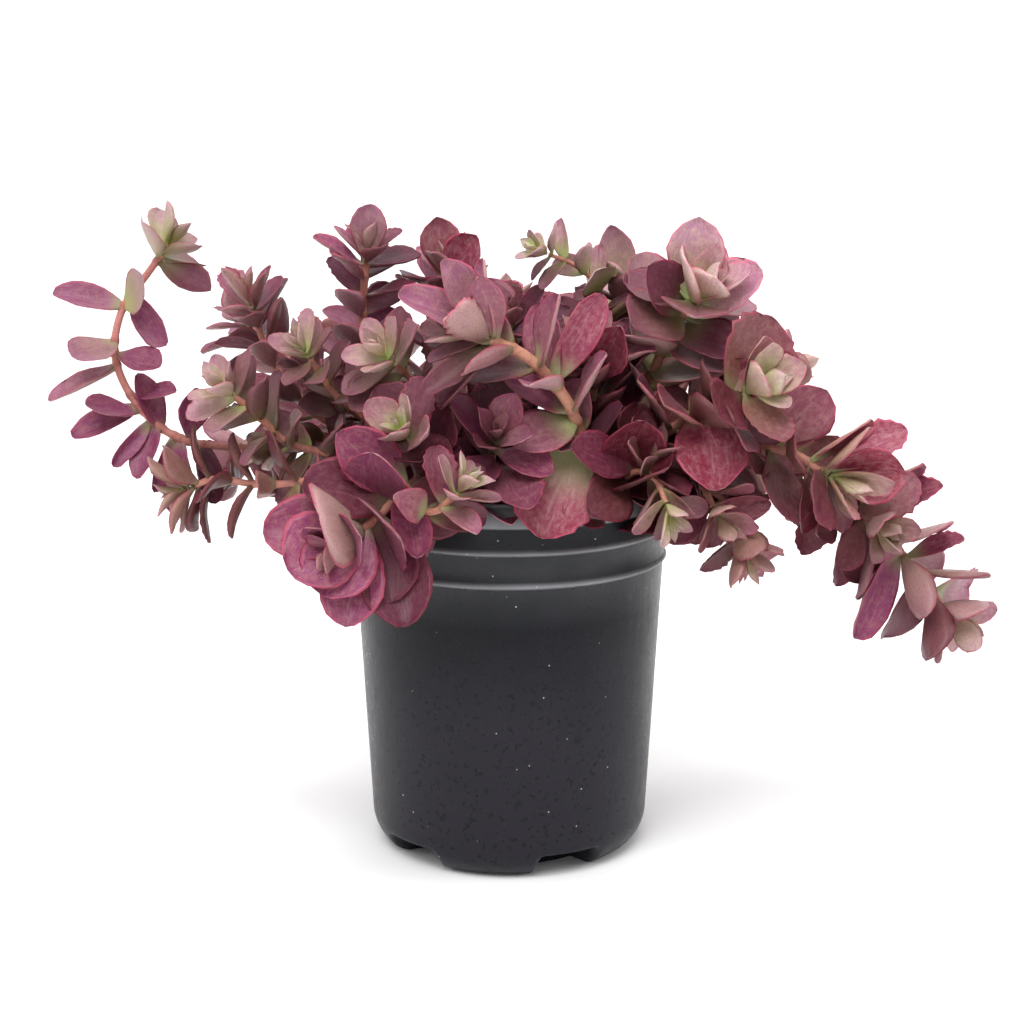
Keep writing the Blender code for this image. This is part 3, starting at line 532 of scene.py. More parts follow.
placed = add_node(scatter, "GeometryNodeInstanceOnPoints", {
    "Points": tagged, "Instance": shapes, "Pick Instance": True, "Rotation": turn, "Scale": size})
both = add_node(scatter, "GeometryNodeJoinGeometry", {0: placed})
feed(scatter, both, {0: given["Geometry"]})
real = add_node(scatter, "GeometryNodeRealizeInstances", {0: both})
coloured = add_node(scatter, "GeometryNodeSetMaterial", {0: real, "Material": given["Material"]})
add_node(scatter, "NodeGroupOutput", {0: coloured})
print("scatter tree nodes:", len(scatter.nodes))

# %% Mound and chips
mix_low, mix_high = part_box("potting_mix")
MIX_BOTTOM = mix_low.z / MM
MIX_TOP = mix_high.z / MM
MIX_RADIUS = mix_high.x / MM
MIX_MOUND = 4
MIX_SIDES = 72
MIX_RINGS = 10
MIX_CORNERS = ((FOOT_RADIUS - 4, MIX_BOTTOM), (MIX_RADIUS - 6, HEEL_HEIGHT + 3))
CHIP_CLEARANCE = 1.5
CHIP_EDGE = 6
SMOOTH_EDGE = 3
MOUND_ROUGHNESS = (-1.2, 0.9)

section = [(0.0, MIX_BOTTOM), *MIX_CORNERS]
for i in range(MIX_RINGS + 1):
    out = 1 - i / MIX_RINGS
    section.append(((MIX_RADIUS - CHIP_CLEARANCE) * out, MIX_TOP - CHIP_CLEARANCE - MIX_MOUND * out**2))
points, faces = turned(section, MIX_SIDES)
draw = random.Random("mound")
uneven = []
for x, y, z in points:
    if z > POT_HEIGHT / 2 and math.hypot(x, y) < MIX_RADIUS - SMOOTH_EDGE:
        z += draw.uniform(*MOUND_ROUGHNESS)
    uneven.append((x * MM, y * MM, z * MM))
mound = mesh_object("mound", uneven, faces, bark)
is_top = mound.data.attributes.new("is_top", "BOOLEAN", "FACE")
for face in mound.data.polygons:
    high_enough = face.center.z > (MIX_TOP - 2 * MIX_MOUND) * MM
    is_top.data[face.index].value = (
        high_enough and face.center.xy.length < (MIX_RADIUS - CHIP_EDGE) * MM)
potting_mix = grown_from(mound, scatter, {
    "Chips": chips, "Per Square Metre": 60000, "Smallest": 2.2 * MM, "Largest": 6.5 * MM,
    "Perlite Share": 0.07, "Seed": 3, "Material": bark}, "potting_mix")
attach(potting_mix, "root")
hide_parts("potting_mix")
print("potting mix with its chips:", len(potting_mix.data.polygons), "faces")

# %% [markdown]
# ## Sedum skin
# Sedum leaves are fleshy and covered with a thin wax. The pigment sits just under the skin, so
# the colour is soft and a little mottled. Young leaves at a shoot's heart are pale yellow-green,
# older ones turn plum or crimson from the edge in, and the base stays green. A fine red line
# runs round the margin. Every leaf carries four numbers of its own, which the shader reads:
# ripe (0 young, 1 coloured through), warm (0 mauve, 1 crimson), green (how far up the base green
# reaches) and shade. "under" marks the paler lower side.

# %% Leaf patterns
MOTTLE = 2.6
SPECK = 0.75
MARGIN = 0.055
STREAKS = (3.0, 16.0, 1.0)

leaf_skin, tree, shader = new_material("waxy_sedum_leaf")
place = add_node(tree, "ShaderNodeTexCoord").outputs["Object"]
on_leaf = add_node(tree, "ShaderNodeUVMap", uv_map="leaf")
along, across, _ = add_node(tree, "ShaderNodeSeparateXYZ", {0: on_leaf}).outputs
ripe, warm, green, shade, under = (
    add_node(tree, "ShaderNodeAttribute", attribute_name=name).outputs["Fac"]
    for name in ("ripe", "warm", "green", "shade", "under"))

mottle = add_node(tree, "ShaderNodeTexNoise", {"Vector": place, "Scale": per_mm(MOTTLE), "Detail": 3})
specks = add_node(tree, "ShaderNodeTexNoise", {"Vector": place, "Scale": per_mm(SPECK), "Detail": 2})
wide = add_node(tree, "ShaderNodeMapping", {"Vector": on_leaf, "Scale": STREAKS})
each_its_own = add_node(tree, "ShaderNodeVectorMath", {0: wide, 1: place}, operation="ADD")
streaks = add_node(tree, "ShaderNodeTexNoise", {
    "Vector": each_its_own, "Scale": 1.6, "Detail": 3, "Distortion": 0.6})

reach = add_node(tree, "ShaderNodeMath", {0: green, 1: 0.75, 2: 0.12}, operation="MULTIPLY_ADD")
past_base = add_node(tree, "ShaderNodeMath", {0: along, 1: reach}, operation="DIVIDE")
# How wide the blade is at this share of its length, and how far from its midrib a point is
half_width, off_middle = along, across
for operation, number in (("POWER", 1.35), ("MULTIPLY", math.pi), ("SINE", 0), ("POWER", 0.6)):
    half_width = add_node(tree, "ShaderNodeMath", {0: half_width, 1: number}, operation=operation)
for operation, number in (("MULTIPLY", 2), ("SUBTRACT", 1), ("ABSOLUTE", 0)):
    off_middle = add_node(tree, "ShaderNodeMath", {0: off_middle, 1: number}, operation=operation)
inside = add_node(tree, "ShaderNodeMath", {0: 1.0, 1: off_middle}, operation="SUBTRACT")
from_edge = add_node(tree, "ShaderNodeMath", {0: inside, 1: half_width, 2: -0.03},
                     operation="MULTIPLY_ADD")
wavy_edge = add_node(tree, "ShaderNodeMath", {0: mottle, 1: 0.06, 2: from_edge},
                     operation="MULTIPLY_ADD")
print("leaf pattern nodes:", len(tree.nodes))

# %% [markdown]
# Each pattern is eased into a share between 0 and 1. The shares then lay the colours over one
# another: patches, specks, pale streaks, the green base and the red margin. Most colours are a
# pair, for a young leaf and a ripe one.

# %% Leaf colours
shares = {}
for name, pattern, low, high, start, end in (
        ("tip", along, 0.35, 0.95, 0.0, 1.0), ("patches", mottle, 0.38, 0.70, 0.0, 0.42),
        ("specks", specks, 0.50, 0.70, 0.0, 0.42), ("streaks", streaks, 0.48, 0.74, 0.0, 0.28),
        ("base", past_base, 0.15, 1.0, 1.0, 0.0), ("greenness", green, 0.0, 0.4, 0.35, 0.9),
        ("margin", wavy_edge, MARGIN * 0.4, MARGIN * 2.2, 1.0, 0.0),
        ("blade", along, 0.08, 0.3, 0.0, 1.0), ("waxy", mottle, 0.3, 0.7, 0.34, 0.50)):
    shares[name] = add_node(tree, "ShaderNodeMapRange", {
        "Value": pattern, "From Min": low, "From Max": high, "To Min": start, "To Max": end},
        interpolation_type="SMOOTHSTEP")
redness = add_node(tree, "ShaderNodeMath", {0: ripe, 1: 0.5, 2: 0.25}, operation="MULTIPLY_ADD")
for name, first, second in (("base", shares["base"], shares["greenness"]),
                            ("edge", shares["margin"], shares["blade"])):
    shares[name] = add_node(tree, "ShaderNodeMath", {0: first, 1: second}, operation="MULTIPLY")
shares["edge"] = add_node(tree, "ShaderNodeMath", {0: shares["edge"], 1: redness}, operation="MULTIPLY")

colours = {}
for name, share, first, second in (
        ("upper", warm, "#86426a", "#7c2a3e"), ("lower", warm, "#a67a86", "#8f6258"),
        ("young", shares["tip"], "#a9ad78", "#b8929a"), ("patch", ripe, "#c2bf92", "#a06a6c"),
        ("speck", ripe, "#8c9a5c", "#54172c"), ("base", ripe, "#a8b05a", "#8f9468")):
    colours[name] = add_node(tree, "ShaderNodeMix", {"Factor": share, 6: first, 7: second},
                             data_type="RGBA")
grown = add_node(tree, "ShaderNodeMix", {"Factor": under, 6: colours["upper"], 7: colours["lower"]},
                 data_type="RGBA")
skin = colours["young"]
for share, coat in ((ripe, grown), (shares["patches"], colours["patch"]),
                    (shares["specks"], colours["speck"]), (shares["streaks"], "#b98a94"),
                    (shares["base"], colours["base"]), (shares["edge"], "#b2425c")):
    skin = add_node(tree, "ShaderNodeMix", {"Factor": share, 6: skin, 7: coat}, data_type="RGBA")
# Painted shade: each leaf is darkened or lightened by its shade value, green and blue more than red.
less_green, less_blue = (add_node(tree, "ShaderNodeMath", {0: shade, 1: power}, operation="POWER")
                         for power in (1.45, 1.3))
dimming = add_node(tree, "ShaderNodeCombineColor", {0: shade, 1: less_green, 2: less_blue})
shaded = add_node(tree, "ShaderNodeMix", {"Factor": 1.0, 6: skin, 7: dimming},
                  data_type="RGBA", blend_type="MULTIPLY")

fine_relief = add_node(tree, "ShaderNodeMath", {0: specks, 1: 0.5}, operation="MULTIPLY")
relief = add_node(tree, "ShaderNodeMath", {0: streaks, 1: 0.7, 2: fine_relief}, operation="MULTIPLY_ADD")
bump = add_node(tree, "ShaderNodeBump", {"Height": relief, "Strength": 0.7, "Distance": 0.4 * MM})
feed(tree, shader, {"Base Color": shaded, "Roughness": shares["waxy"], "Normal": bump,
                    "IOR": 1.42, "Specular IOR Level": 0.42})
print("leaf material nodes:", len(tree.nodes))

# %% [markdown]
# ## Stem skin
# Young sedum stems are smooth and fleshy too, pink to orange-tan where the sun reaches them and
# greener low down, with short pale streaks along them and darker scars where leaves have grown.

# %% Stem material
PATCH = 9
FLECK = 1.1

stem_skin, tree, shader = new_material("fleshy_sedum_stem")
place = add_node(tree, "ShaderNodeTexCoord").outputs["Object"]
tan, scar = (add_node(tree, "ShaderNodeAttribute", attribute_name=name).outputs["Fac"]
             for name in ("tan", "scar"))
patches, flecks = (add_node(tree, "ShaderNodeTexNoise", {
    "Vector": place, "Scale": per_mm(size), "Detail": 3}) for size in (PATCH, FLECK))
shares = {}
for name, pattern, low, high, start, end in (
        ("patches", patches, 0.35, 0.68, 0.0, 0.55), ("flecks", flecks, 0.5, 0.75, 0.0, 0.5),
        ("fleshy", flecks, 0.3, 0.7, 0.42, 0.58)):
    shares[name] = add_node(tree, "ShaderNodeMapRange", {
        "Value": pattern, "From Min": low, "From Max": high, "To Min": start, "To Max": end},
        interpolation_type="SMOOTHSTEP")
skin = "#b87470"
for share, coat in ((tan, "#cd967e"), (shares["patches"], "#b77a5e"),
                    (shares["flecks"], "#8a4a44"), (scar, "#7c3f3a")):
    skin = add_node(tree, "ShaderNodeMix", {"Factor": share, 6: skin, 7: coat}, data_type="RGBA")
bump = add_node(tree, "ShaderNodeBump", {"Height": flecks, "Strength": 0.4, "Distance": 0.3 * MM})
feed(tree, shader, {"Base Color": skin, "Roughness": shares["fleshy"], "Normal": bump, "IOR": 1.42})
print("stem material nodes:", len(tree.nodes))

# %% [markdown]
# ## Leaf shapes
# Five leaf shapes cover the plant: straps on the long runners, spatulas on most stems, broad
# round leaves where the shoot got light, pointed young ones in the hearts, and leaves with
# a scalloped tip. Each is one closed fleshy blade: a slightly dished upper side, a rounder lower
# side, and a narrow edge strip between them, so that the margin stays crisp when it is shaded
# smooth. A blade is one unit long and one unit wide. It keeps to 91 faces, or 181 where the tip
# is scalloped, because the plant carries nearly a thousand copies.

# %% One blade
TOP_COLUMNS = (-1.0, -0.86, -0.45, 0.0, 0.45, 0.86, 1.0)
UNDER_COLUMNS = (0.62, 0.0, -0.62)
PETIOLE_SHARE = 0.16
BLADE_THICKNESS = 0.034
DISH = 0.10
KEEL = 0.035
SCALLOP = 0.07
UPPER_BULGE = 0.75
LOWER_BULGE = 1.25


def half_width_of(kind, s):
    """Half the width of a blade at a share of its length, where the widest is 0.5."""
    broadest, roundness = {"strap": (1.15, 0.42), "spatula": (1.5, 0.66), "round": (1.22, 0.52),
                           "pointed": (1.12, 0.95), "scalloped": (1.45, 0.55)}[kind]
    return 0.5 * max(math.sin(math.pi * min(s, 1.0) ** broadest), 0.0) ** roundness


def blade(kind, rows):
    """A closed blade along +Y with its upper side to +Z, and its leaf UV and under attribute."""
    spots = [0.5 - 0.5 * math.cos(math.pi * (0.08 + 0.92 * i / rows)) for i in range(rows)]
    spots[0] = 0.0
    points, uvs, rings = [], [], []
    for row, s in enumerate(spots):
        half = max(half_width_of(kind, s), 0.5 * PETIOLE_SHARE * (1 - s))
        if kind == "scalloped" and s > 0.5:
            half *= 1.0 + SCALLOP * math.cos(math.pi * row)
        thick = BLADE_THICKNESS * (1.5 - 0.9 * s)
        dish = DISH * min(1.0, 2.5 * s)
        ring = []
        for sign, columns in ((1, TOP_COLUMNS), (-1, UNDER_COLUMNS)):
            bulge = UPPER_BULGE if sign > 0 else LOWER_BULGE
            for v in columns:
                rim = sign * thick * math.sqrt(max(0.0, 1 - v * v)) * bulge
                crease = -KEEL * (1 - abs(v)) * min(1.0, 3 * s) if sign > 0 else 0.0
                ring.append(len(points))
                points.append((v * half, s, rim + dish * v * v * half * 2 + crease))
                uvs.append((s, 0.5 + 0.5 * v))
        rings.append(ring)
    tip = len(points)
    points.append((0.0, 1.0 if kind != "pointed" else 1.03, 0.0))
    uvs.append((1.0, 0.5))
    faces, under, size = [tuple(rings[0])], [False], len(rings[0])
    for low, high in zip(rings, rings[1:] + [[tip] * size]):
        for i in range(size):
            j = (i + 1) % size
            quad = (low[i], low[j], high[j], high[i])
            faces.append(quad if high[i] != high[j] else (low[i], low[j], tip))
            under.append(i >= len(TOP_COLUMNS) - 1)
    mesh = bpy.data.meshes.new("blade_" + kind)
    mesh.from_pydata(points, [], faces)
    uv = mesh.uv_layers.new(name="leaf")
    for loop in mesh.loops:
        uv.data[loop.index].uv = uvs[loop.vertex_index]
    side = mesh.attributes.new("under", "FLOAT", "FACE")
    side.data.foreach_set("value", [float(u) for u in under])
    reach = mesh.attributes.new("reach", "FLOAT", "POINT")
    reach.data.foreach_set("value", [p[1] for p in points])
    work = bmesh.new()
    work.from_mesh(mesh)
    bmesh.ops.recalc_face_normals(work, faces=work.faces)
    work.to_mesh(mesh)
    work.free()
    return mesh


BLADE_ROWS = 9
SCALLOPED_ROWS = 18
KINDS = ("strap", "spatula", "round", "pointed", "scalloped")
blades = bpy.data.collections.new("blades")
for number, kind in enumerate(KINDS):
    mesh = blade(kind, SCALLOPED_ROWS if kind == "scalloped" else BLADE_ROWS)
    mesh.materials.append(leaf_skin)
    blades.objects.link(bpy.data.objects.new(f"blade_{number}_{kind}", mesh))
    print("blade", kind, len(mesh.polygons), "faces")

# %% [markdown]
# ## Leaf tree
# One Geometry Nodes tree dresses a whole shoot. It gets bare points, each with the turn, size,
# kind and bend of one leaf. It puts a blade on each point, turns the copies into real mesh, and
# bends each blade along its own upper side by the square of the way along it. A little noise
# then makes the blades uneven, because no two real leaves are alike.

# %% Build the leaf tree
leafing, given = new_tree("dress_with_leaves", (
    ("Blades", "Collection"), ("Unevenness", "Float"), ("Wave Length", "Float"),
    ("Material", "Material")))
own = {name: add_node(leafing, "GeometryNodeInputNamedAttribute", {"Name": name}, data_type=kind)
       for name, kind in (("kind", "INT"), ("turn", "QUATERNION"), ("size", "FLOAT_VECTOR"),
                          ("face", "FLOAT_VECTOR"), ("reach", "FLOAT"), ("lift", "FLOAT"))}
shapes = add_node(leafing, "GeometryNodeCollectionInfo", {
    "Collection": given["Blades"], "Separate Children": True})
on_points = add_node(leafing, "GeometryNodeInstanceOnPoints", {
    "Points": given["Geometry"], "Instance": shapes, "Pick Instance": True,
    "Instance Index": own["kind"], "Rotation": own["turn"], "Scale": own["size"]})
real = add_node(leafing, "GeometryNodeRealizeInstances", {0: on_points})
squared = add_node(leafing, "ShaderNodeMath", {0: own["reach"], 1: own["reach"]}, operation="MULTIPLY")
lift = add_node(leafing, "ShaderNodeMath", {0: squared, 1: own["lift"]}, operation="MULTIPLY")
bent = add_node(leafing, "ShaderNodeVectorMath", {0: own["face"], "Scale": lift}, operation="SCALE")
frequency = add_node(leafing, "ShaderNodeMath", {0: 1.0, 1: given["Wave Length"]}, operation="DIVIDE")
noise = add_node(leafing, "ShaderNodeTexNoise", {"Scale": frequency, "Detail": 2.0})
middle = add_node(leafing, "ShaderNodeVectorMath", {0: noise.outputs["Color"], 1: (0.5, 0.5, 0.5)},
                  operation="SUBTRACT")
grown_way = add_node(leafing, "ShaderNodeMath", {0: own["reach"], 1: given["Unevenness"]},
                     operation="MULTIPLY")
waves = add_node(leafing, "ShaderNodeVectorMath", {0: middle, "Scale": grown_way}, operation="SCALE")
moved = add_node(leafing, "ShaderNodeVectorMath", {0: bent, 1: waves}, operation="ADD")
shaped = add_node(leafing, "GeometryNodeSetPosition", {0: real, "Offset": moved})
smooth = add_node(leafing, "GeometryNodeSetShadeSmooth", {0: shaped})
coloured = add_node(leafing, "GeometryNodeSetMaterial", {0: smooth, "Material": given["Material"]})
add_node(leafing, "NodeGroupOutput", {0: coloured})
print("leaf tree nodes:", len(leafing.nodes))

# %% [markdown]
# ## Stem tree
# A second tree turns each stem's centre line into a fleshy tube. The line's points carry the
# radius, which swells at every leaf joint, so the tube gets the knuckles of a real stem.

# %% Build the stem tree
tubing, given = new_tree("flesh_out_stems", (("Sides", "Int"), ("Material", "Material")))
lines = add_node(tubing, "GeometryNodeMeshToCurve", {0: given["Geometry"]})
ring = add_node(tubing, "GeometryNodeCurvePrimitiveCircle", {"Resolution": given["Sides"], "Radius": 1.0})
girth = add_node(tubing, "GeometryNodeInputNamedAttribute", {"Name": "girth"}, data_type="FLOAT")
tube = add_node(tubing, "GeometryNodeCurveToMesh", {
    "Curve": lines, "Profile Curve": ring, "Fill Caps": True, "Scale": girth})
smooth = add_node(tubing, "GeometryNodeSetShadeSmooth", {0: tube})
real = add_node(tubing, "GeometryNodeRealizeInstances", {0: smooth})
coloured = add_node(tubing, "GeometryNodeSetMaterial", {0: real, "Material": given["Material"]})
add_node(tubing, "NodeGroupOutput", {0: coloured})
print("stem tree nodes:", len(tubing.nodes))

# %% [markdown]
# ## The planting plan
# Every shoot is one row: where its stem leaves the mix or forks from another, the points that it
# passes, and the leaves and the rosette that it carries. The points are the frame's own, given
# in millimetres, with heights counted from the rim. A row's look says how coloured its
# leaves are, from its heart outward.

# %% Plan
def shoot(name, base, route, radius, leaves, rosette, roll=0.0, parent=None):
    """One shoot. The frame was made from the same routes.

    leaves is (share of the stem left bare, spacing, length, width share, tilt, bend), and
    rosette is (length, width share, pairs, bend).
    """
    return {"name": name, "base": base, "route": route, "radius": radius, "leaves": leaves,
            "rosette": rosette, "roll": roll, "parent": parent}


PLAN = [
    # Left side, seen from the front
    shoot("far_left", (-30, -2),
          [(-58, -6, 10), (-90, -14, 19), (-120, -21, 15), (-149, -25, 20), (-168, -24, 35),
           (-178, -21, 56), (-175, -18, 77), (-163, -15, 94), (-157, -13, 102)],
          (2.3, 1.6), (0.36, 13, 30, 0.44, 66, 0.1), (27, 0.62, 3, 0.4), 70),
    shoot("left_upright", (-72, -10, 14),
          [(-92, -5, 30), (-110, -4, 54), (-117, -5, 76)],
          (1.8, 1.4), (0.2, 11.5, 25, 0.48, 66, 0.1), (27, 0.50, 4, 0.3), 30, "far_left"),
    shoot("left_front", (-32, -15),
          [(-62, -26, 7), (-97, -36, 19), (-110, -42, 32), (-121, -48, 43)],
          (2.3, 1.5), (0.32, 11, 27, 0.45, 72, -0.2), (23, 0.58, 4, 0.5), 10),
    shoot("left_low", (-58, -25, 6),
          [(-82, -42, 5), (-108, -47, 3), (-130, -44, 5), (-140, -42, 2)],
          (1.8, 1.5), (0.2, 11.5, 27, 0.46, 70, -0.5), (26, 0.52, 4, -0.1), 60, "left_front"),
    shoot("tall_left", (-22, 6),
          [(-42, 7, 8), (-64, 10, 34), (-68, 6, 66), (-66, 2, 97)],
          (2.4, 1.7), (0.36, 10.5, 27, 0.54, 68, 0.15), (28, 0.54, 4, 0.25), 15),
    shoot("left_bud", (-42, 7, 8),
          [(-62, -8, 22), (-78, -27, 40), (-88, -38, 58)],
          (1.7, 1.4), (0.15, 11, 25, 0.50, 62, 0.1), (24, 0.52, 4, 0.4), 80, "tall_left"),
    # Middle
    shoot("tall_middle", (-8, 20),
          [(-22, 28, 14), (-32, 31, 52), (-30, 29, 86)],
          (2.4, 1.8), (0.36, 11, 29, 0.56, 62, 0.2), (30, 0.58, 4, 0.2), 50),
    shoot("upper_middle", (7, 12),
          [(6, 16, 20), (3, 10, 50), (2, 4, 64)],
          (2.2, 1.7), (0.36, 11, 30, 0.54, 64, 0.2), (31, 0.54, 4, 0.2), 20),
    shoot("arch", (30, -28),
          [(33, -46, 10), (29, -61, 34), (20, -70, 51), (6, -76, 65), (-8, -78, 71)],
          (3.0, 2.3), (0.90, 16, 34, 0.46, 60, 0.1), (35, 0.46, 5, 0.25), 35),
    shoot("front_bud", (-14, -20),
          [(-26, -32, 14), (-38, -46, 44), (-50, -58, 59)],
          (2.0, 1.5), (0.50, 11.5, 27, 0.54, 62, 0.1), (25, 0.56, 4, 0.45), 0),
    shoot("green_heart", (-14, -35),
          [(-26, -52, 4), (-36, -68, 20), (-42, -78, 29)],
          (2.0, 1.6), (0.50, 11.5, 32, 0.66, 70, 0.0), (26, 0.60, 4, 0.35), 45),
    shoot("front_middle", (-19, -43, -6),
          [(-10, -58, 8), (-7, -70, 22)],
          (2.0, 1.8), (0.3, 11, 34, 0.56, 70, 0.0), (33, 0.56, 4, 0.0), 70, "green_heart"),
    shoot("hanging_left", (-25, -38),
          [(-33, -62, 8), (-42, -84, 10), (-55, -99, 0), (-67, -107, -9)],
          (2.5, 1.9), (0.48, 11.5, 34, 0.82, 72, -0.1), (25, 0.74, 4, 0.15), 20),
    shoot("small_heart", (-42, -84, 10),
          [(-38, -97, 3), (-30, -103, 3), (-23, -106, 10)],
          (1.7, 1.4), (0.25, 11, 27, 0.46, 72, -0.2), (22, 0.5, 4, 0.2), 10, "hanging_left"),
    shoot("right_of_arch", (36, -14),
          [(40, -24, 14), (38, -32, 40), (37, -36, 52)],
          (2.4, 1.8), (0.42, 11, 36, 0.40, 52, 0.15), (39, 0.40, 4, 0.1), 65),
    # Right side
    shoot("upper_right", (34, 4),
          [(49, -3, 18), (63, -20, 46), (74, -29, 72), (80, -36, 82)],
          (2.8, 2.1), (0.42, 12, 36, 0.74, 66, 0.1), (38, 0.80, 4, 0.2), 5),
    shoot("upper_right_small", (29, 17),
          [(42, 19, 26), (52, 14, 66), (54, 12, 80)],
          (1.9, 1.4), (0.42, 12, 28, 0.56, 58, 0.2), (28, 0.54, 3, 0.2), 40),
    shoot("thin_pale", (42, 19, 26),
          [(44, 9, 54), (41, 0, 84), (31, -5, 96), (18, -8, 102)],
          (1.3, 0.9), (0.45, 13, 19, 0.46, 70, 0.1), (17, 0.66, 3, 0.2), 0, "upper_right_small"),
    shoot("yellow_heart", (42, -26),
          [(60, -36, 14), (80, -48, 34), (95, -56, 43), (101, -61, 46)],
          (2.6, 2.0), (0.40, 12, 37, 0.70, 70, 0.1), (32, 0.66, 5, 0.55), 55),
    shoot("inner_right", (33, -41),
          [(46, -52, 2), (56, -60, 12)],
          (2.2, 1.8), (0.45, 11, 37, 0.56, 74, -0.1), (35, 0.54, 3, 0.0), 30),
    shoot("rim_small", (46, -52, 2),
          [(55, -64, 12), (63, -76, 11), (67, -82, 2)],
          (1.6, 1.3), (0.6, 12, 21, 0.48, 60, 0.0), (22, 0.50, 3, 0.3), 20, "inner_right"),
    shoot("right_trailing", (48, 2),
          [(76, -14, 12), (102, -34, 19), (124, -50, 18), (138, -59, 11)],
          (2.5, 1.9), (0.38, 12, 35, 0.68, 68, 0.1), (33, 0.66, 4, 0.45), 75),
    shoot("right_low", (70, -10, 9),
          [(90, -5, 14), (112, -8, 11), (134, -21, 4), (152, -33, -8), (161, -40, -14)],
          (2.1, 1.7), (0.2, 12, 33, 0.56, 70, 0.1), (29, 0.64, 4, 0.5), 15, "right_trailing"),
    shoot("right_end", (134, -21, 4),
          [(152, -18, -6), (174, -24, -26), (192, -31, -48), (199, -34, -57)],
          (1.8, 1.5), (0.2, 12.5, 36, 0.50, 68, 0.1), (27, 0.62, 4, 0.65), 50, "right_low"),
    shoot("rim_dark", (54, -17),
          [(62, -28, 10), (74, -44, 12), (84, -59, 6), (89, -66, -3)],
          (2.0, 1.5), (0.5, 11.5, 26, 0.54, 66, 0.0), (24, 0.54, 4, 0.4), 60),
    shoot("rim_hanging", (84, -58, 6),
          [(96, -56, -4), (102, -56, -20)],
          (1.6, 1.4), (0.25, 11.5, 28, 0.54, 70, 0.0), (26, 0.54, 4, 0.35), 30, "rim_dark"),
    # Back
    shoot("left_back", (-36, 20),
          [(-70, 27, 18), (-104, 37, 46), (-124, 43, 62)],
          (2.2, 1.6), (0.34, 13, 29, 0.50, 68, 0.0), (28, 0.54, 4, 0.3), 20),
    shoot("back_left_long", (-24, 28),
          [(-56, 50, 12), (-92, 76, 16), (-124, 96, 2), (-140, 106, -12)],
          (2.3, 1.7), (0.34, 13, 31, 0.54, 72, -0.2), (29, 0.56, 4, 0.3), 65),
    shoot("back_left", (-50, 46, 11),
          [(-58, 76, 26), (-68, 98, 38), (-76, 110, 42)],
          (2.0, 1.7), (0.2, 13, 31, 0.60, 70, 0.0), (32, 0.64, 4, 0.2), 35, "back_left_long"),
    shoot("back_low", (-2, 38),
          [(-7, 76, 14), (-14, 110, 12), (-20, 132, -4), (-23, 141, -18)],
          (2.3, 1.7), (0.36, 13, 33, 0.64, 72, -0.1), (31, 0.60, 4, 0.3), 10),
    shoot("back_tall", (-1, 26),
          [(2, 42, 24), (0, 54, 64)],
          (2.3, 1.8), (0.38, 12, 30, 0.54, 62, 0.1), (31, 0.56, 4, 0.2), 75),
    shoot("upper_back", (1, 38, 16),
          [(20, 42, 32), (38, 46, 54), (46, 48, 64)],
          (2.0, 1.7), (0.25, 12, 30, 0.58, 62, 0.1), (32, 0.64, 3, 0.2), 40, "back_tall"),
    shoot("back_right_long", (26, 29),
          [(54, 58, 12), (84, 84, 16), (110, 104, 4), (123, 113, -10)],
          (2.3, 1.7), (0.34, 13, 33, 0.54, 72, -0.2), (29, 0.56, 4, 0.3), 25),
    shoot("back_right", (48, 52, 10),
          [(46, 80, 27), (44, 100, 38), (45, 112, 44)],
          (2.0, 1.7), (0.2, 13, 33, 0.62, 70, 0.0), (33, 0.66, 4, 0.2), 55, "back_right_long"),
    shoot("right_back", (38, 27),
          [(72, 42, 14), (106, 53, 30), (128, 60, 36)],
          (2.2, 1.6), (0.34, 13, 33, 0.56, 70, 0.0), (31, 0.60, 4, 0.3), 5),
]
print("shoots:", len(PLAN))

# %% [markdown]
# ## Looks of the shoots
# A look is (tan of the stem, ripe at the heart, ripe outside, warm, green, shade). The far-left
# runner ends pale grey-green, the right side is deep crimson and the front tips have
# yellow-green hearts.

# %% Looks
PLUM = (0.35, 0.8, 1.0, 0.35, 0.2, 1.0)
ROSY = (0.4, 0.7, 1.0, 0.6, 0.2, 1.1)
DEEP = (0.4, 0.6, 0.95, 0.8, 0.2, 0.95)
CRIMSON = (0.5, 0.45, 0.95, 0.95, 0.25, 1.2)
DUSTY = (0.45, 0.5, 0.72, 0.30, 0.4, 1.15)
PALE = (0.5, 0.05, 0.75, 0.15, 0.5, 1.15)
HEART = (0.5, 0.0, 0.95, 0.55, 0.35, 1.05)
LOOKS = {
    "far_left": (0.1, 0.05, 0.42, 0.15, 0.45, 0.84),
    "left_upright": ROSY, "left_front": DUSTY, "left_low": DEEP, "tall_left": PLUM,
    "left_bud": DUSTY, "tall_middle": ROSY, "upper_middle": PLUM,
    "arch": (0.95, 0.45, 0.95, 0.30, 0.25, 1.08),
    "front_bud": DUSTY, "green_heart": HEART, "front_middle": PLUM,
    "hanging_left": (0.5, 0.95, 1.0, 0.40, 0.1, 1.0), "small_heart": HEART,
    "right_of_arch": (0.6, 0.4, 1.0, 0.6, 0.35, 0.95),
    "upper_right": (0.5, 0.72, 0.78, 0.35, 0.35, 1.45),
    "upper_right_small": DUSTY, "thin_pale": PALE, "yellow_heart": (0.5, 0.0, 0.95, 0.9, 0.3, 1.15),
    "inner_right": DEEP, "rim_small": (0.5, 0.05, 0.7, 0.5, 0.4, 1.0), "right_trailing": CRIMSON,
    "right_low": (0.5, 0.3, 0.92, 0.7, 0.25, 1.05), "right_end": (0.5, 0.3, 0.92, 0.5, 0.3, 1.1),
    "rim_dark": DEEP, "rim_hanging": DEEP, "left_back": PLUM, "back_left_long": PLUM,
    "back_left": ROSY, "back_low": CRIMSON, "back_tall": ROSY, "upper_back": DUSTY,
    "back_right_long": CRIMSON, "back_right": PLUM, "right_back": CRIMSON,
}
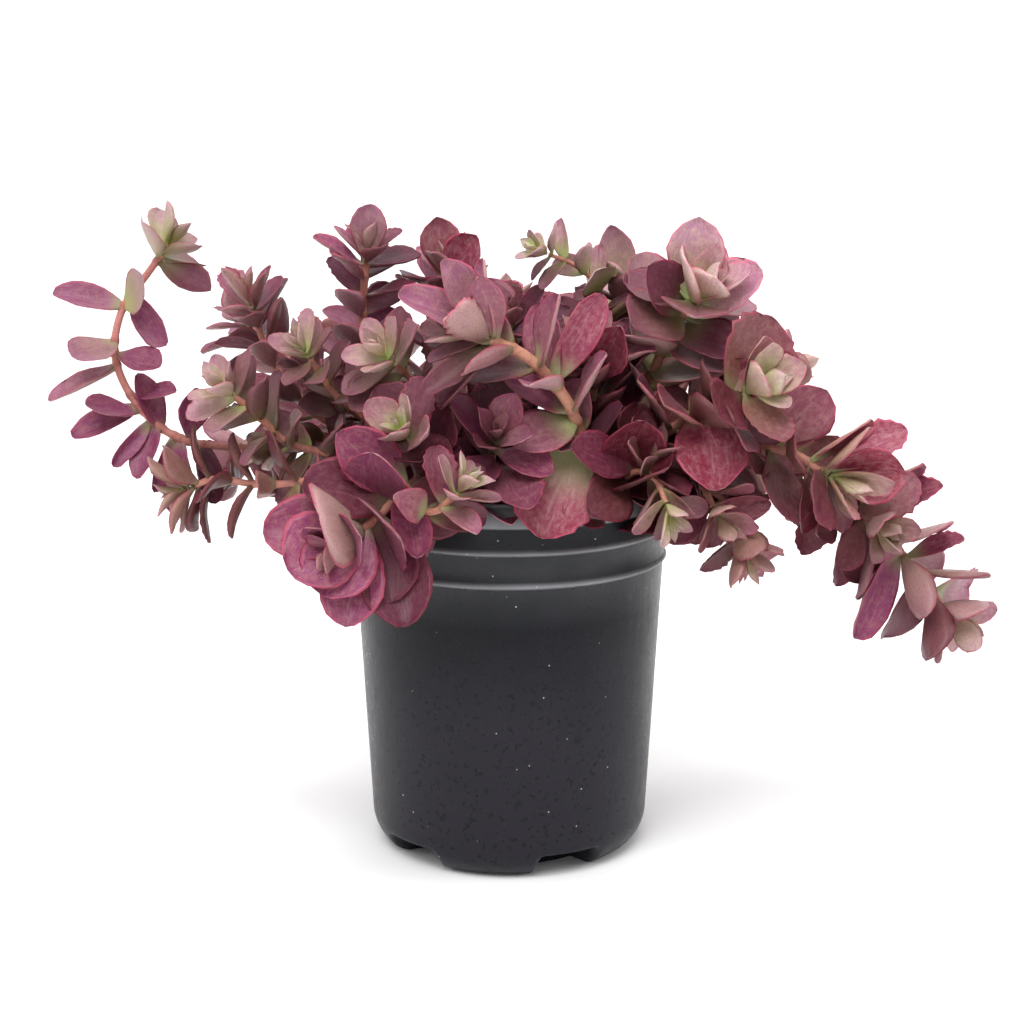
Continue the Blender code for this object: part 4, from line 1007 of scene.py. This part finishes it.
print("looks:", len(LOOKS), "rows without one:", [r["name"] for r in PLAN if r["name"] not in LOOKS])

# %% [markdown]
# ## Stems along smooth lines
# A stem runs on a Catmull-Rom curve, which passes through every point of its route. Along it a
# side direction is carried without twisting, so that the leaf pairs can be turned by a known
# angle from one joint to the next.

# %% Lines
RIM = RIM_RADIUS * MM
ROUTE_RIM_RADIUS = 77.0
ROUTE_STEPS = 8
UPRIGHT_FOOT = 6 * MM
FOOT_SINK = 3 * MM


def smooth_route(points):
    """Fine samples (distance, point, axis, side) on a Catmull-Rom curve through the points.

    side is a unit vector square to the axis, carried along without twisting.
    """
    ends = [points[0] * 2 - points[1]] + points + [points[-1] * 2 - points[-2]]
    fine = []
    for a, b, c, d in zip(ends, ends[1:], ends[2:], ends[3:]):
        for i in range(ROUTE_STEPS):
            t = i / ROUTE_STEPS
            fine.append(0.5 * (2 * b + (c - a) * t + (2 * a - 5 * b + 4 * c - d) * t**2
                               + (3 * b - a - 3 * c + d) * t**3))
    fine.append(points[-1].copy())
    samples, distance, side = [], 0.0, Vector((1, 0, 0))
    for k, point in enumerate(fine):
        axis = (fine[min(k + 1, len(fine) - 1)] - fine[max(k - 1, 0)]).normalized()
        side = (side - axis * side.dot(axis)).normalized()
        if k:
            distance += (point - fine[k - 1]).length
        samples.append((distance, point, axis, side))
    return samples


def at(route, distance):
    """The point, axis and side at a distance along a route."""
    for low, high in zip(route, route[1:]):
        if distance <= high[0] or high is route[-1]:
            share = min(1.0, (distance - low[0]) / (high[0] - low[0]))
            return (low[1].lerp(high[1], share), low[2].lerp(high[2], share).normalized(),
                    low[3].lerp(high[3], share).normalized())


def spoke(axis, side, turn):
    """The side vector turned about the axis."""
    return side * math.cos(turn) + axis.cross(side) * math.sin(turn)


def world(point):
    """A route point as metres on this pot."""
    stretch = RIM / (ROUTE_RIM_RADIUS * MM)
    return Vector((point[0] * MM * stretch, point[1] * MM * stretch, (POT_HEIGHT + point[2]) * MM))


def named(name):
    """The plan's row of this name."""
    return next(row for row in PLAN if row["name"] == name)


def root_of(row):
    """The row whose stem node this shoot is part of."""
    return root_of(named(row["parent"])) if row["parent"] else row


for row in PLAN:
    points = [world(p) for p in row["route"]]
    if row["parent"]:
        stock, near = named(row["parent"])["samples"], world(row["base"])
        foot = min(stock, key=lambda sample: (sample[1] - near).length)[1]
    else:
        foot = world((*row["base"], MIX_TOP - POT_HEIGHT))
        foot.z -= MIX_MOUND * MM * (foot.xy.length / (MIX_RADIUS * MM)) ** 2
        points.insert(0, foot + Vector((0, 0, UPRIGHT_FOOT)))
        foot.z -= FOOT_SINK
    row["samples"] = smooth_route([foot] + points)
    row["reach"] = row["samples"][-1][0]
print("stems in all:", round(sum(r["reach"] for r in PLAN), 2), "m")

# %% [markdown]
# ## Growing the leaves
# Sedum leaves sit in opposite pairs, each pair a quarter turn on from the last. The tip of a
# shoot is the same thing with shorter gaps and smaller leaves, which makes a rosette. A leaf
# tries a few tilts and sizes, and keeps the one that cuts through the fewest leaves that
# are there already. It also turns its upper side a little to the light.

# %% Room for a leaf
LIGHT = Vector((-0.1, -0.62, 0.78))
TURN_TO_LIGHT = 0.45
SHIFTS = ((0, 0), (-12, 0), (12, 0), (0, 16), (0, -16), (-24, 10), (22, -10), (-10, -30), (-10, 30))
TRIES = [(tilt, turn, size) for size in (1.0, 0.84, 0.7) for tilt, turn in SHIFTS]
FULL_SIZE_TRIES = TRIES[:len(SHIFTS)]
SMALLER_COSTS = 2
IN_POT_COSTS = 50
WALL_ROOM = 2
MOST_LEAVES = 6000
TEST_OUTLINE = ((0.16, 0.12), (0.45, 0.42), (0.72, 0.48), (0.93, 0.26))
stood = {"lows": np.zeros((MOST_LEAVES, 3)), "highs": np.zeros((MOST_LEAVES, 3)), "trees": []}


def leaf_sheet(leaf):
    """A leaf as a flat, bent outline, to test for room with."""
    across = leaf["forward"].cross(leaf["face"]).normalized()
    points = []
    for s, half in TEST_OUTLINE:
        middle = leaf["base"] + leaf["forward"] * (leaf["length"] * s)
        middle = middle + leaf["face"] * (leaf["bend"] * leaf["length"] * s * s / 2)
        points += [middle - across * leaf["width"] * half, middle + across * leaf["width"] * half]
    return points, [(2 * i, 2 * i + 1, 2 * i + 3, 2 * i + 2) for i in range(len(TEST_OUTLINE) - 1)]


def crossings(points, tree):
    """How many faces of what stands already a shape cuts through."""
    low, high = np.min(points, axis=0), np.max(points, axis=0)
    count = len(stood["trees"])
    near = np.nonzero(np.all(stood["lows"][:count] <= high, axis=1)
                      & np.all(stood["highs"][:count] >= low, axis=1))[0]
    return sum(len(tree.overlap(stood["trees"][k])) for k in near)


def stand(points, tree):
    """Puts a shape in the way of the leaves that come after it."""
    count = len(stood["trees"])
    stood["lows"][count], stood["highs"][count] = np.min(points, axis=0), np.max(points, axis=0)
    stood["trees"].append(tree)


def aimed(face, forward):
    """The upper side, turned a little to the light but still square to the leaf."""
    face = face + LIGHT * TURN_TO_LIGHT
    return (face - forward * face.dot(forward)).normalized()


def inside_pot(point):
    """True for a point in the mix, in the pot's wall or under it."""
    radius, top = point.xy.length / MM, point.z / MM
    in_wall = wall_radius(top) - WALL - 1 < radius < wall_radius(top) + WALL_ROOM and top < POT_HEIGHT + 1.0
    in_mix = radius <= wall_radius(top) - WALL and top < MIX_TOP
    return in_wall or in_mix


def grow(wanted, tries=TRIES):
    """The try at a leaf that crosses least, which is then in the way of the next."""
    best = None
    for tilt, turn, size in tries:
        outward = spoke(wanted["axis"], wanted["side"], wanted["turn"] + math.radians(turn))
        lean = math.radians(wanted["tilt"] + tilt)
        forward = wanted["axis"] * math.cos(lean) + outward * math.sin(lean)
        face = wanted["axis"] * math.sin(lean) - outward * math.cos(lean)
        face = aimed(spoke(forward, face, wanted["twist"]), forward)
        leaf = dict(wanted, forward=forward, face=face, length=wanted["length"] * size,
                    width=wanted["length"] * size * wanted["share"])
        sheet = leaf_sheet(leaf)
        tree = BVHTree.FromPolygons(*sheet)
        crossed = crossings(sheet[0], tree) + (1 - size) * SMALLER_COSTS
        crossed += IN_POT_COSTS * sum(inside_pot(p) for p in sheet[0])
        if best is None or crossed < best[0]:
            best = (crossed, leaf, sheet[0], tree)
        if crossed <= 0:
            break
    stand(best[2], best[3])
    return best[1]


for row in PLAN:
    points, faces = [], []
    for _, point, axis, side in row["samples"][::4] + [row["samples"][-1]]:
        for i in range(3):
            points.append(point + spoke(axis, side, 2 * math.pi * i / 3) * row["radius"][1] * MM)
    for k in range(0, len(points) - 3, 3):
        faces += [(k + i, k + (i + 1) % 3, k + 3 + (i + 1) % 3, k + 3 + i) for i in range(3)]
    stand(np.array(points), BVHTree.FromPolygons(points, faces))
print("stems in the way of leaves:", len(stood["trees"]))

# %% [markdown]
# ## Rosettes
# Towards the heart of a rosette the pairs get shorter, narrower, steeper and younger. No two are
# quite alike, so each number of a leaf is varied by a seeded random draw. A spread is either one
# number, for plus or minus as much, or the two ends of a range.

# %% Leaves of a rosette
ROSETTE_SPACING = 2.3 * MM
ROSETTE_FIRST_TILT = 74
ROSETTE_LAST_TILT = 22
ROSETTE_SHRINK = 0.7
HEART_NARROWING = 0.32
YOUNG_FROM = 0.55
EXTRA_PAIRS = 2
PAIR_TURN = 90
ROSETTE_SINK = 0.4
ROUND_FROM = 0.72
STRAP_BELOW = 0.47
SCALLOPED_SHARE = 0.22
ROSETTE_SPREAD = {"turn": 16, "tilt": 11, "twist": 16, "length": (0.84, 1.12), "share": (1.04, 1.26),
                  "bend": 0.12, "ripe": 0.06, "warm": 0.2, "shade": (0.92, 1.08)}


def vary(draw, spread):
    """A random value within a spread."""
    low, high = spread if isinstance(spread, tuple) else (-spread, spread)
    return draw.uniform(low, high)


def kind_for(share, young, draw):
    """The blade that suits a width share, with now and then a scalloped one."""
    if young:
        return "pointed"
    if share > ROUND_FROM:
        return "round"
    if draw.random() < SCALLOPED_SHARE:
        return "scalloped"
    return "strap" if share < STRAP_BELOW else "spatula"


def grow_rosette(row):
    """Pairs from the outermost in, shorter, steeper and younger towards the heart."""
    length, share, pairs, bend = row["rosette"]
    heart, outside, warm, green, shade = LOOKS[row["name"]][1:]
    draw = random.Random("rosette " + row["name"])
    spread = ROSETTE_SPREAD
    _, end, axis, side = row["samples"][-1]
    pairs += EXTRA_PAIRS
    made = []
    for pair in range(pairs):
        depth = pair / (pairs - 1)
        steeper = (ROSETTE_LAST_TILT - ROSETTE_FIRST_TILT) * depth**0.8
        shorter = 1 - ROSETTE_SHRINK * depth**1.3
        for half in (0, math.pi):
            made.append(grow({
                "base": end + axis * (ROSETTE_SPACING * (pair - ROSETTE_SINK)),
                "axis": axis, "side": side,
                "turn": math.radians(row["roll"] + PAIR_TURN * pair + vary(draw, spread["turn"])) + half,
                "tilt": ROSETTE_FIRST_TILT + steeper + vary(draw, spread["tilt"]),
                "twist": math.radians(vary(draw, spread["twist"])),
                "length": length * MM * shorter * vary(draw, spread["length"]),
                "share": share * vary(draw, spread["share"]) * (1 - HEART_NARROWING * depth),
                "bend": bend * (0.5 + 0.6 * depth) + vary(draw, spread["bend"]),
                "kind": kind_for(share, depth > YOUNG_FROM, draw),
                "ripe": outside + (heart - outside) * min(1.0, depth * 1.1) + vary(draw, spread["ripe"]),
                "warm": warm + vary(draw, spread["warm"]),
                "green": green * (0.6 + 0.9 * depth),
                "shade": shade * vary(draw, spread["shade"]),
            }, FULL_SIZE_TRIES))
    return made


print("tries at a rosette leaf:", len(FULL_SIZE_TRIES))

# %% [markdown]
# ## Leaves along the stems
# Below its rosette a stem carries pairs at nearly even distances, down to where it is bare. They
# are bigger and deeper in colour than the rosette's, and they vary more. The far-left runner grows
# leaves up to a share of its reach only, because the ones beyond that are placed one by one.

# %% Leaves along a stem
LOWER_BARE_SHARE = 0.35
BARE_FOOT = 9 * MM
FIRST_PAIR = 0.62
STEM_FILL = 0.86
STEM_LIFT = 6
HAND_PLACED_FROM = {"far_left": 0.42}
STEM_SPREAD = {"turn": 14, "tilt": 10, "twist": 26, "length": (0.88, 1.12), "share": (1.04, 1.34),
               "bend": 0.3, "ripe": (-0.12, 0.05), "warm": 0.25, "green": (0.6, 1.3),
               "shade": (0.86, 1.08)}


def grow_stem_leaves(row):
    """Opposite pairs from the tip down, the lower ones bigger and deeper in colour."""
    bare, spacing, length, share, tilt, bend = row["leaves"]
    outside, warm, green, shade = LOOKS[row["name"]][2:]
    draw = random.Random("stem " + row["name"])
    spread = STEM_SPREAD
    distance, pair, made = row["reach"] - FIRST_PAIR * spacing * MM, 0, []
    if row["name"] in HAND_PLACED_FROM:
        distance = row["reach"] * HAND_PLACED_FROM[row["name"]]
    while distance > row["reach"] * bare * LOWER_BARE_SHARE + BARE_FOOT:
        base, axis, side = at(row["samples"], distance)
        turned_by = row["roll"] + PAIR_TURN / 2 + PAIR_TURN * pair
        for half in (0, math.pi):
            made.append(grow({
                "base": base, "axis": axis, "side": side,
                "turn": math.radians(turned_by + vary(draw, spread["turn"])) + half,
                "tilt": tilt - STEM_LIFT + vary(draw, spread["tilt"]),
                "twist": math.radians(vary(draw, spread["twist"])),
                "length": length * MM * vary(draw, spread["length"]),
                "share": share * vary(draw, spread["share"]),
                "bend": bend + vary(draw, spread["bend"]),
                "kind": kind_for(share, False, draw),
                "ripe": outside + vary(draw, spread["ripe"]),
                "warm": warm + vary(draw, spread["warm"]),
                "green": green * vary(draw, spread["green"]),
                "shade": shade * vary(draw, spread["shade"]),
            }))
        row["joints"].append(distance)
        distance -= spacing * STEM_FILL * MM
        pair += 1
    return made


print("tries at a stem leaf:", len(TRIES))

# %% [markdown]
# ## Leaves that stand clear
# The leaves at the plant's outline and round the pot's lip are what the eye follows, so they are
# placed one by one, before the others grow round them. Each is (base, tip, upper side, width share,
# bend, kind, ripe, warm, green), its points in millimetres like those of the plan.

# %% Leaves placed one by one
SOLO_LEAVES = {
    "far_left": (
        ((-157, -14, 98), (-134, -24, 84), (0.1, -0.7, 0.7), 0.50, 0.3, "spatula", 0.85, 0.1, 0.6),
        ((-175, -18, 80), (-204, -24, 88), (0.2, -0.8, 0.6), 0.40, -0.2, "strap", 0.95, 0.1, 0.2),
        ((-174, -18, 80), (-157, -30, 92), (0.1, -0.8, 0.5), 0.85, 0.5, "round", 0.5, 0.1, 0.4),
        ((-170, -17, 84), (-154, -22, 62), (-0.4, -0.8, 0.3), 0.46, 0.2, "strap", 1, 0.2, 0.2),
        ((-177, -20, 64), (-193, -34, 55), (-0.1, -0.5, 0.8), 1.1, 0.4, "round", 0.8, 0.2, 0.2),
        ((-178, -21, 60), (-155, -30, 52), (0.0, -0.7, 0.7), 0.60, 0.2, "spatula", 1, 0.3, 0.2),
        ((-178, -21, 52), (-207, -27, 36), (-0.2, -0.4, 0.9), 0.34, 0.1, "strap", 0.9, 0.2, 0.1),
        ((-172, -22, 40), (-148, -32, 40), (0.1, -0.6, 0.8), 0.52, 0.3, "spatula", 1, 0.2, 0.1),
        ((-168, -24, 35), (-196, -33, 20), (0.0, -0.7, 0.7), 0.42, 0.2, "strap", 1, 0.3, 0.1),
        ((-160, -24, 28), (-166, -36, 2), (-0.4, -0.8, 0.2), 0.46, 0.2, "strap", 1, 0.2, 0.1),
        ((-157, -24, 25), (-168, -26, 50), (0.5, -0.8, 0.1), 0.46, 0.2, "strap", 1, 0.4, 0.1),
        ((-149, -25, 20), (-152, -36, -14), (-0.2, -0.9, 0.0), 0.34, -0.2, "strap", 1, 0.2, 0.1),
        ((-144, -24, 20), (-140, -34, 46), (0.3, -0.8, 0.2), 0.50, 0.2, "spatula", 1, 0.3, 0.1),
        ((-138, -23, 17), (-132, -38, -8), (0.1, -0.9, 0.2), 0.40, 0.1, "strap", 1, 0.3, 0.1),
        ((-166, -24, 33), (-190, -38, 32), (0.0, -0.5, 0.85), 0.62, 0.5, "spatula", 1, 0.2, 0.2),
        ((-162, -24, 29), (-180, -34, 8), (0.5, -0.7, 0.3), 0.28, 0.3, "strap", 1, 0.1, 0.3),
        ((-153, -25, 22), (-160, -34, -3), (0.4, -0.8, 0.1), 0.30, -0.2, "strap", 1, 0.1, 0.3),
    ),
    "arch": (
        ((27, -62, 27), (13, -87, -9), (0.0, -0.85, 0.5), 0.80, -0.25, "scalloped", 1, 1.0, 0.8),
        ((29, -62, 33), (2, -80, 27), (-0.1, -0.75, 0.65), 0.72, -0.1, "round", 0.9, 0.5, 0.5),
        ((-6, -78, 70), (-29, -84, 105), (0.35, -0.8, 0.3), 0.44, 0.15, "spatula", 0.85, 0.3, 0.3),
        ((-6, -78, 70), (-46, -86, 94), (0.3, -0.75, 0.6), 0.36, -0.1, "strap", 0.9, 0.2, 0.3),
        ((-4, -77, 69), (-13, -92, 101), (0.0, -0.9, 0.3), 0.46, 0.2, "spatula", 0.9, 0.5, 0.2),
        ((-4, -77, 69), (-36, -90, 48), (-0.3, -0.8, 0.4), 0.34, 0.2, "strap", 0.7, 0.2, 0.5),
        ((19, -71, 52), (39, -68, 91), (0.3, -0.85, 0.1), 0.38, 0.1, "strap", 1, 0.85, 0.3),
    ),
    "right_of_arch": (
        ((37, -34, 46), (48, -62, 76), (0.0, -0.9, 0.3), 0.46, 0.0, "spatula", 1, 1.0, 0.2),
    ),
    "inner_right": (
        ((50, -55, 6), (58, -76, 38), (0.1, -0.9, 0.2), 0.74, 0.1, "round", 1, 1.0, 0.15),
        ((46, -52, 2), (68, -84, 18), (0.1, -0.6, 0.8), 0.70, 0.0, "round", 1, 1.0, 0.2),
    ),
    "yellow_heart": (
        ((84, -50, 36), (90, -80, 6), (0.0, -0.8, 0.6), 0.76, 0.1, "round", 1, 1.0, 0.2),
        ((82, -49, 35), (122, -58, 61), (-0.2, -0.75, 0.6), 0.34, 0.1, "strap", 1, 1.0, 0.2),
        ((95, -56, 43), (124, -60, 62), (-0.3, -0.7, 0.65), 0.62, 0.0, "round", 1, 1.0, 0.3),
        ((80, -48, 34), (66, -78, 44), (0.0, -0.75, 0.65), 0.78, 0.0, "round", 1, 1.0, 0.2),
    ),
    "right_trailing": (
        ((138, -59, 11), (176, -46, 27), (-0.1, -0.7, 0.7), 0.46, 0.1, "scalloped", 1, 0.9, 0.4),
    ),
    "right_end": (
        ((165, -21, -14), (198, -30, -2), (-0.2, -0.6, 0.8), 0.44, 0.1, "scalloped", 1, 0.8, 0.5),
        ((180, -27, -36), (208, -34, -25), (-0.2, -0.6, 0.8), 0.44, 0.1, "scalloped", 1, 0.7, 0.4),
        ((178, -26, -33), (154, -40, -68), (0.5, -0.75, -0.1), 0.46, 0.2, "strap", 1, 0.3, 0.2),
    ),
    "hanging_left": (
        ((-60, -103, -3), (-78, -122, -28), (-0.1, -0.9, 0.4), 0.92, -0.1, "round", 1, 0.4, 0.1),
        ((-55, -99, 0), (-50, -113, -34), (0.1, -0.95, 0.3), 0.80, 0.1, "round", 1, 0.45, 0.2),
        ((-48, -92, 6), (-86, -104, 14), (-0.2, -0.8, 0.6), 0.72, 0.0, "round", 0.95, 0.5, 0.3),
        ((-62, -105, -3), (-92, -116, -20), (-0.1, -0.9, 0.4), 0.98, 0.15, "round", 1, 0.45, 0.1),
        ((-60, -102, -1), (-103, -103, -8), (0.0, -0.85, 0.5), 0.66, 0.1, "round", 1, 0.5, 0.2),
        ((-56, -99, 0), (-42, -115, -44), (0.1, -0.95, 0.2), 0.64, 0.15, "round", 0.95, 0.35, 0.2),
        ((-62, -104, -4), (-68, -118, -44), (0.0, -0.95, 0.2), 0.66, 0.1, "round", 1, 0.4, 0.3),
        ((-46, -89, 8), (-38, -117, -16), (0.2, -0.9, 0.3), 0.44, 0.2, "strap", 1, 0.4, 0.1),
        ((-44, -87, 9), (-72, -96, 34), (0.0, -0.9, 0.4), 0.66, 0.1, "round", 1, 0.5, 0.3),
    ),
    "tall_left": (
        ((-66, 2, 97), (-63, -3, 125), (0.1, -0.95, 0.1), 0.60, 0.1, "spatula", 0.8, 0.15, 0.3),
    ),
    "tall_middle": (
        ((-30, 29, 86), (-34, 22, 118), (0.1, -0.95, 0.1), 0.60, 0.1, "spatula", 0.9, 0.8, 0.2),
        ((-30, 29, 86), (-15, 18, 110), (-0.1, -0.95, 0.2), 0.62, 0.1, "spatula", 1, 0.9, 0.2),
    ),
    "upper_right": (
        ((80, -36, 82), (83, -40, 121), (0.0, -0.95, 0.2), 0.66, 0.1, "spatula", 0.75, 0.15, 0.4),
        ((77, -33, 77), (60, -50, 100), (0.2, -0.9, 0.3), 0.70, 0.1, "round", 0.9, 0.3, 0.4),
        ((78, -33, 78), (112, -38, 96), (-0.3, -0.8, 0.5), 0.66, 0.15, "round", 0.85, 0.2, 0.4),
        ((74, -29, 72), (103, -52, 60), (0.2, -0.75, 0.6), 0.66, 0.1, "round", 0.9, 0.3, 0.5),
    ),
    "upper_right_small": (
        ((54, 12, 78), (47, 5, 115), (0.0, -0.95, 0.2), 0.46, 0.1, "spatula", 0.65, 0.1, 0.4),
    ),
    "thin_pale": (
        ((41, 0, 84), (39, -18, 96), (0.1, -0.9, 0.3), 0.95, 0.1, "round", 0, 0.1, 0.2),
        ((43, 4, 68), (62, -22, 84), (0.0, -0.5, 0.85), 0.24, 0.1, "strap", 0.1, 0.1, 0.3),
    ),
}


def place_leaf(row, solo):
    """One leaf from a stem near its base to its tip, as its shoot's own."""
    base, tip, upper, share, bend, kind, ripe, warm, green = solo
    distance = min(row["samples"], key=lambda sample: (sample[1] - world(base)).length)[0]
    foot = at(row["samples"], distance)[0]
    forward = world(tip) - foot
    length = forward.length
    forward.normalize()
    face = Vector(upper)
    leaf = {
        "base": foot, "forward": forward, "face": (face - forward * face.dot(forward)).normalized(),
        "length": length, "width": length * share, "bend": bend, "kind": kind,
        "ripe": ripe, "warm": warm, "green": green, "shade": LOOKS[row["name"]][-1],
    }
    sheet = leaf_sheet(leaf)
    stand(sheet[0], BVHTree.FromPolygons(*sheet))
    row["joints"].append(distance)
    row["stem_leaves"].append(leaf)


print("leaves placed by hand:", sum(len(leaves) for leaves in SOLO_LEAVES.values()))

# %% [markdown]
# ## Light and dark leaves
# Leaves deep inside the plant get less light than those outside, so light and shade are painted
# on: each leaf is darkened by how many others lie close by and further out than it does.

# %% Grow them all
COVER_REACH = 32 * MM
COVER_STEP = 7 * MM
COVER_SHADE = 0.07
DEEPEST_SHADE = 0.45
BEST_SHADE = 1.22
PLANT_HEART = Vector((0, 0, (POT_HEIGHT - 5) * MM))


def shade_inner(leaves):
    """Painted shade: a leaf is darker, the more of the other leaves lie outside of it."""
    middles = np.array([tuple(leaf["base"] + leaf["forward"] * (leaf["length"] / 2)) for leaf in leaves])
    for leaf, middle in zip(leaves, middles):
        outward = (Vector(middle) - PLANT_HEART).normalized()
        away = middles - middle
        covers = (np.linalg.norm(away, axis=1) < COVER_REACH) & (away @ np.array(outward) > COVER_STEP)
        leaf["shade"] *= max(DEEPEST_SHADE, BEST_SHADE - COVER_SHADE * int(np.sum(covers)))


for row in PLAN:
    row["joints"], row["stem_leaves"] = [], []
for name, leaves in SOLO_LEAVES.items():
    for solo in leaves:
        place_leaf(named(name), solo)
for row in PLAN:
    row["rosette_leaves"] = grow_rosette(row)
for row in PLAN:
    row["stem_leaves"] += grow_stem_leaves(row)
shade_inner([leaf for row in PLAN for leaf in row["stem_leaves"] + row["rosette_leaves"]])
print("leaves on stems:", sum(len(r["stem_leaves"]) for r in PLAN))
print("leaves in rosettes:", sum(len(r["rosette_leaves"]) for r in PLAN))

# %% [markdown]
# ## Making the pieces
# Each stem piece is a root with its forks and their leaves, because that is how the plant comes
# out of its pot: one branching shoot at a time. Stems and leaves stay separate pieces, each
# with its own skin, and each rosette is a piece of its own.

# %% Leaf pieces
LEAF_UNEVENNESS = 5.0 * MM
LEAF_WAVE = 14 * MM


def leaves_mesh(name, leaves):
    """Points with the numbers of the leaf tree, turned into real leaves."""
    mesh = bpy.data.meshes.new(name + "_points")
    mesh.from_pydata([tuple(leaf["base"]) for leaf in leaves], [], [])
    turns = mesh.attributes.new("turn", "QUATERNION", "POINT")
    for spot, leaf in zip(turns.data, leaves):
        across = leaf["forward"].cross(leaf["face"]).normalized()
        spot.value = Matrix((across, leaf["forward"], leaf["face"])).transposed().to_quaternion()
    for key in ("size", "face"):
        attribute = mesh.attributes.new(key, "FLOAT_VECTOR", "POINT")
        for spot, leaf in zip(attribute.data, leaves):
            spot.vector = leaf["face"] if key == "face" else (leaf["width"], leaf["length"], leaf["length"])
    kinds = mesh.attributes.new("kind", "INT", "POINT")
    kinds.data.foreach_set("value", [KINDS.index(leaf["kind"]) for leaf in leaves])
    for key in ("lift", "ripe", "warm", "green", "shade"):
        attribute = mesh.attributes.new(key, "FLOAT", "POINT")
        attribute.data.foreach_set("value", [leaf["bend"] * leaf["length"] / 2 if key == "lift"
                                             else max(0.0, leaf[key]) for leaf in leaves])
    return grown_from(linked(bpy.data.objects.new(name + "_points", mesh)), leafing, {
        "Blades": blades, "Unevenness": LEAF_UNEVENNESS, "Wave Length": LEAF_WAVE,
        "Material": leaf_skin}, name)


# %% [markdown]
# A stem's line is sampled finely enough to show its knuckles: at each leaf joint the girth swells
# in a soft bump, and the skin is scarred there.

# %% Stem pieces
STEM_SIDES = 12
SAMPLE_STEP = 1.3 * MM
KNUCKLE = 0.28
KNUCKLE_REACH = 1.3 * MM


def stems_mesh(name, rows):
    """The stem and its forks as centre lines with a girth, turned into fleshy tubes."""
    points, edges, girths, scars, tans = [], [], [], [], []
    for row in rows:
        steps = max(4, round(row["reach"] / SAMPLE_STEP))
        thick, thin = (r * MM for r in row["radius"])
        for i in range(steps + 1):
            distance = row["reach"] * i / steps
            near = min((abs(distance - j) for j in row["joints"]), default=1.0)
            swell = math.exp(-(near / KNUCKLE_REACH) ** 2)
            if i:
                edges.append((len(points) - 1, len(points)))
            points.append(tuple(at(row["samples"], distance)[0]))
            girths.append((thick + (thin - thick) * distance / row["reach"]) * (1 + KNUCKLE * swell))
            scars.append(0.5 * swell)
            tans.append(LOOKS[row["name"]][0])
    mesh = bpy.data.meshes.new(name + "_lines")
    mesh.from_pydata(points, edges, [])
    for key, values in (("girth", girths), ("scar", scars), ("tan", tans)):
        mesh.attributes.new(key, "FLOAT", "POINT").data.foreach_set("value", values)
    return grown_from(linked(bpy.data.objects.new(name + "_lines", mesh)), tubing,
                      {"Sides": STEM_SIDES, "Material": stem_skin}, name)


# %% [markdown]
# Every root row now becomes its two stem pieces, and every row its rosette. Each stands for one
# node of the frame, which it hides.

# %% All the shoots
faces_made = 0
for row in PLAN:
    if row["parent"] is None:
        family = [other for other in PLAN if root_of(other) is row]
        leaves = [leaf for other in family for leaf in other["stem_leaves"]]
        for piece in (stems_mesh(row["name"] + "_stem", family),
                      leaves_mesh(row["name"] + "_leaves", leaves)):
            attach(piece, "root")
            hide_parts("stem_" + row["name"])
            faces_made += len(piece.data.polygons)
    rosette = leaves_mesh(row["name"] + "_rosette", row["rosette_leaves"])
    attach(rosette, "root")
    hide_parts("rosette_" + row["name"])
    faces_made += len(rosette.data.polygons)
print("faces of the plant:", faces_made)

# %% Finish
for shape in list(chips.objects) + list(blades.objects):
    bpy.data.objects.remove(shape)
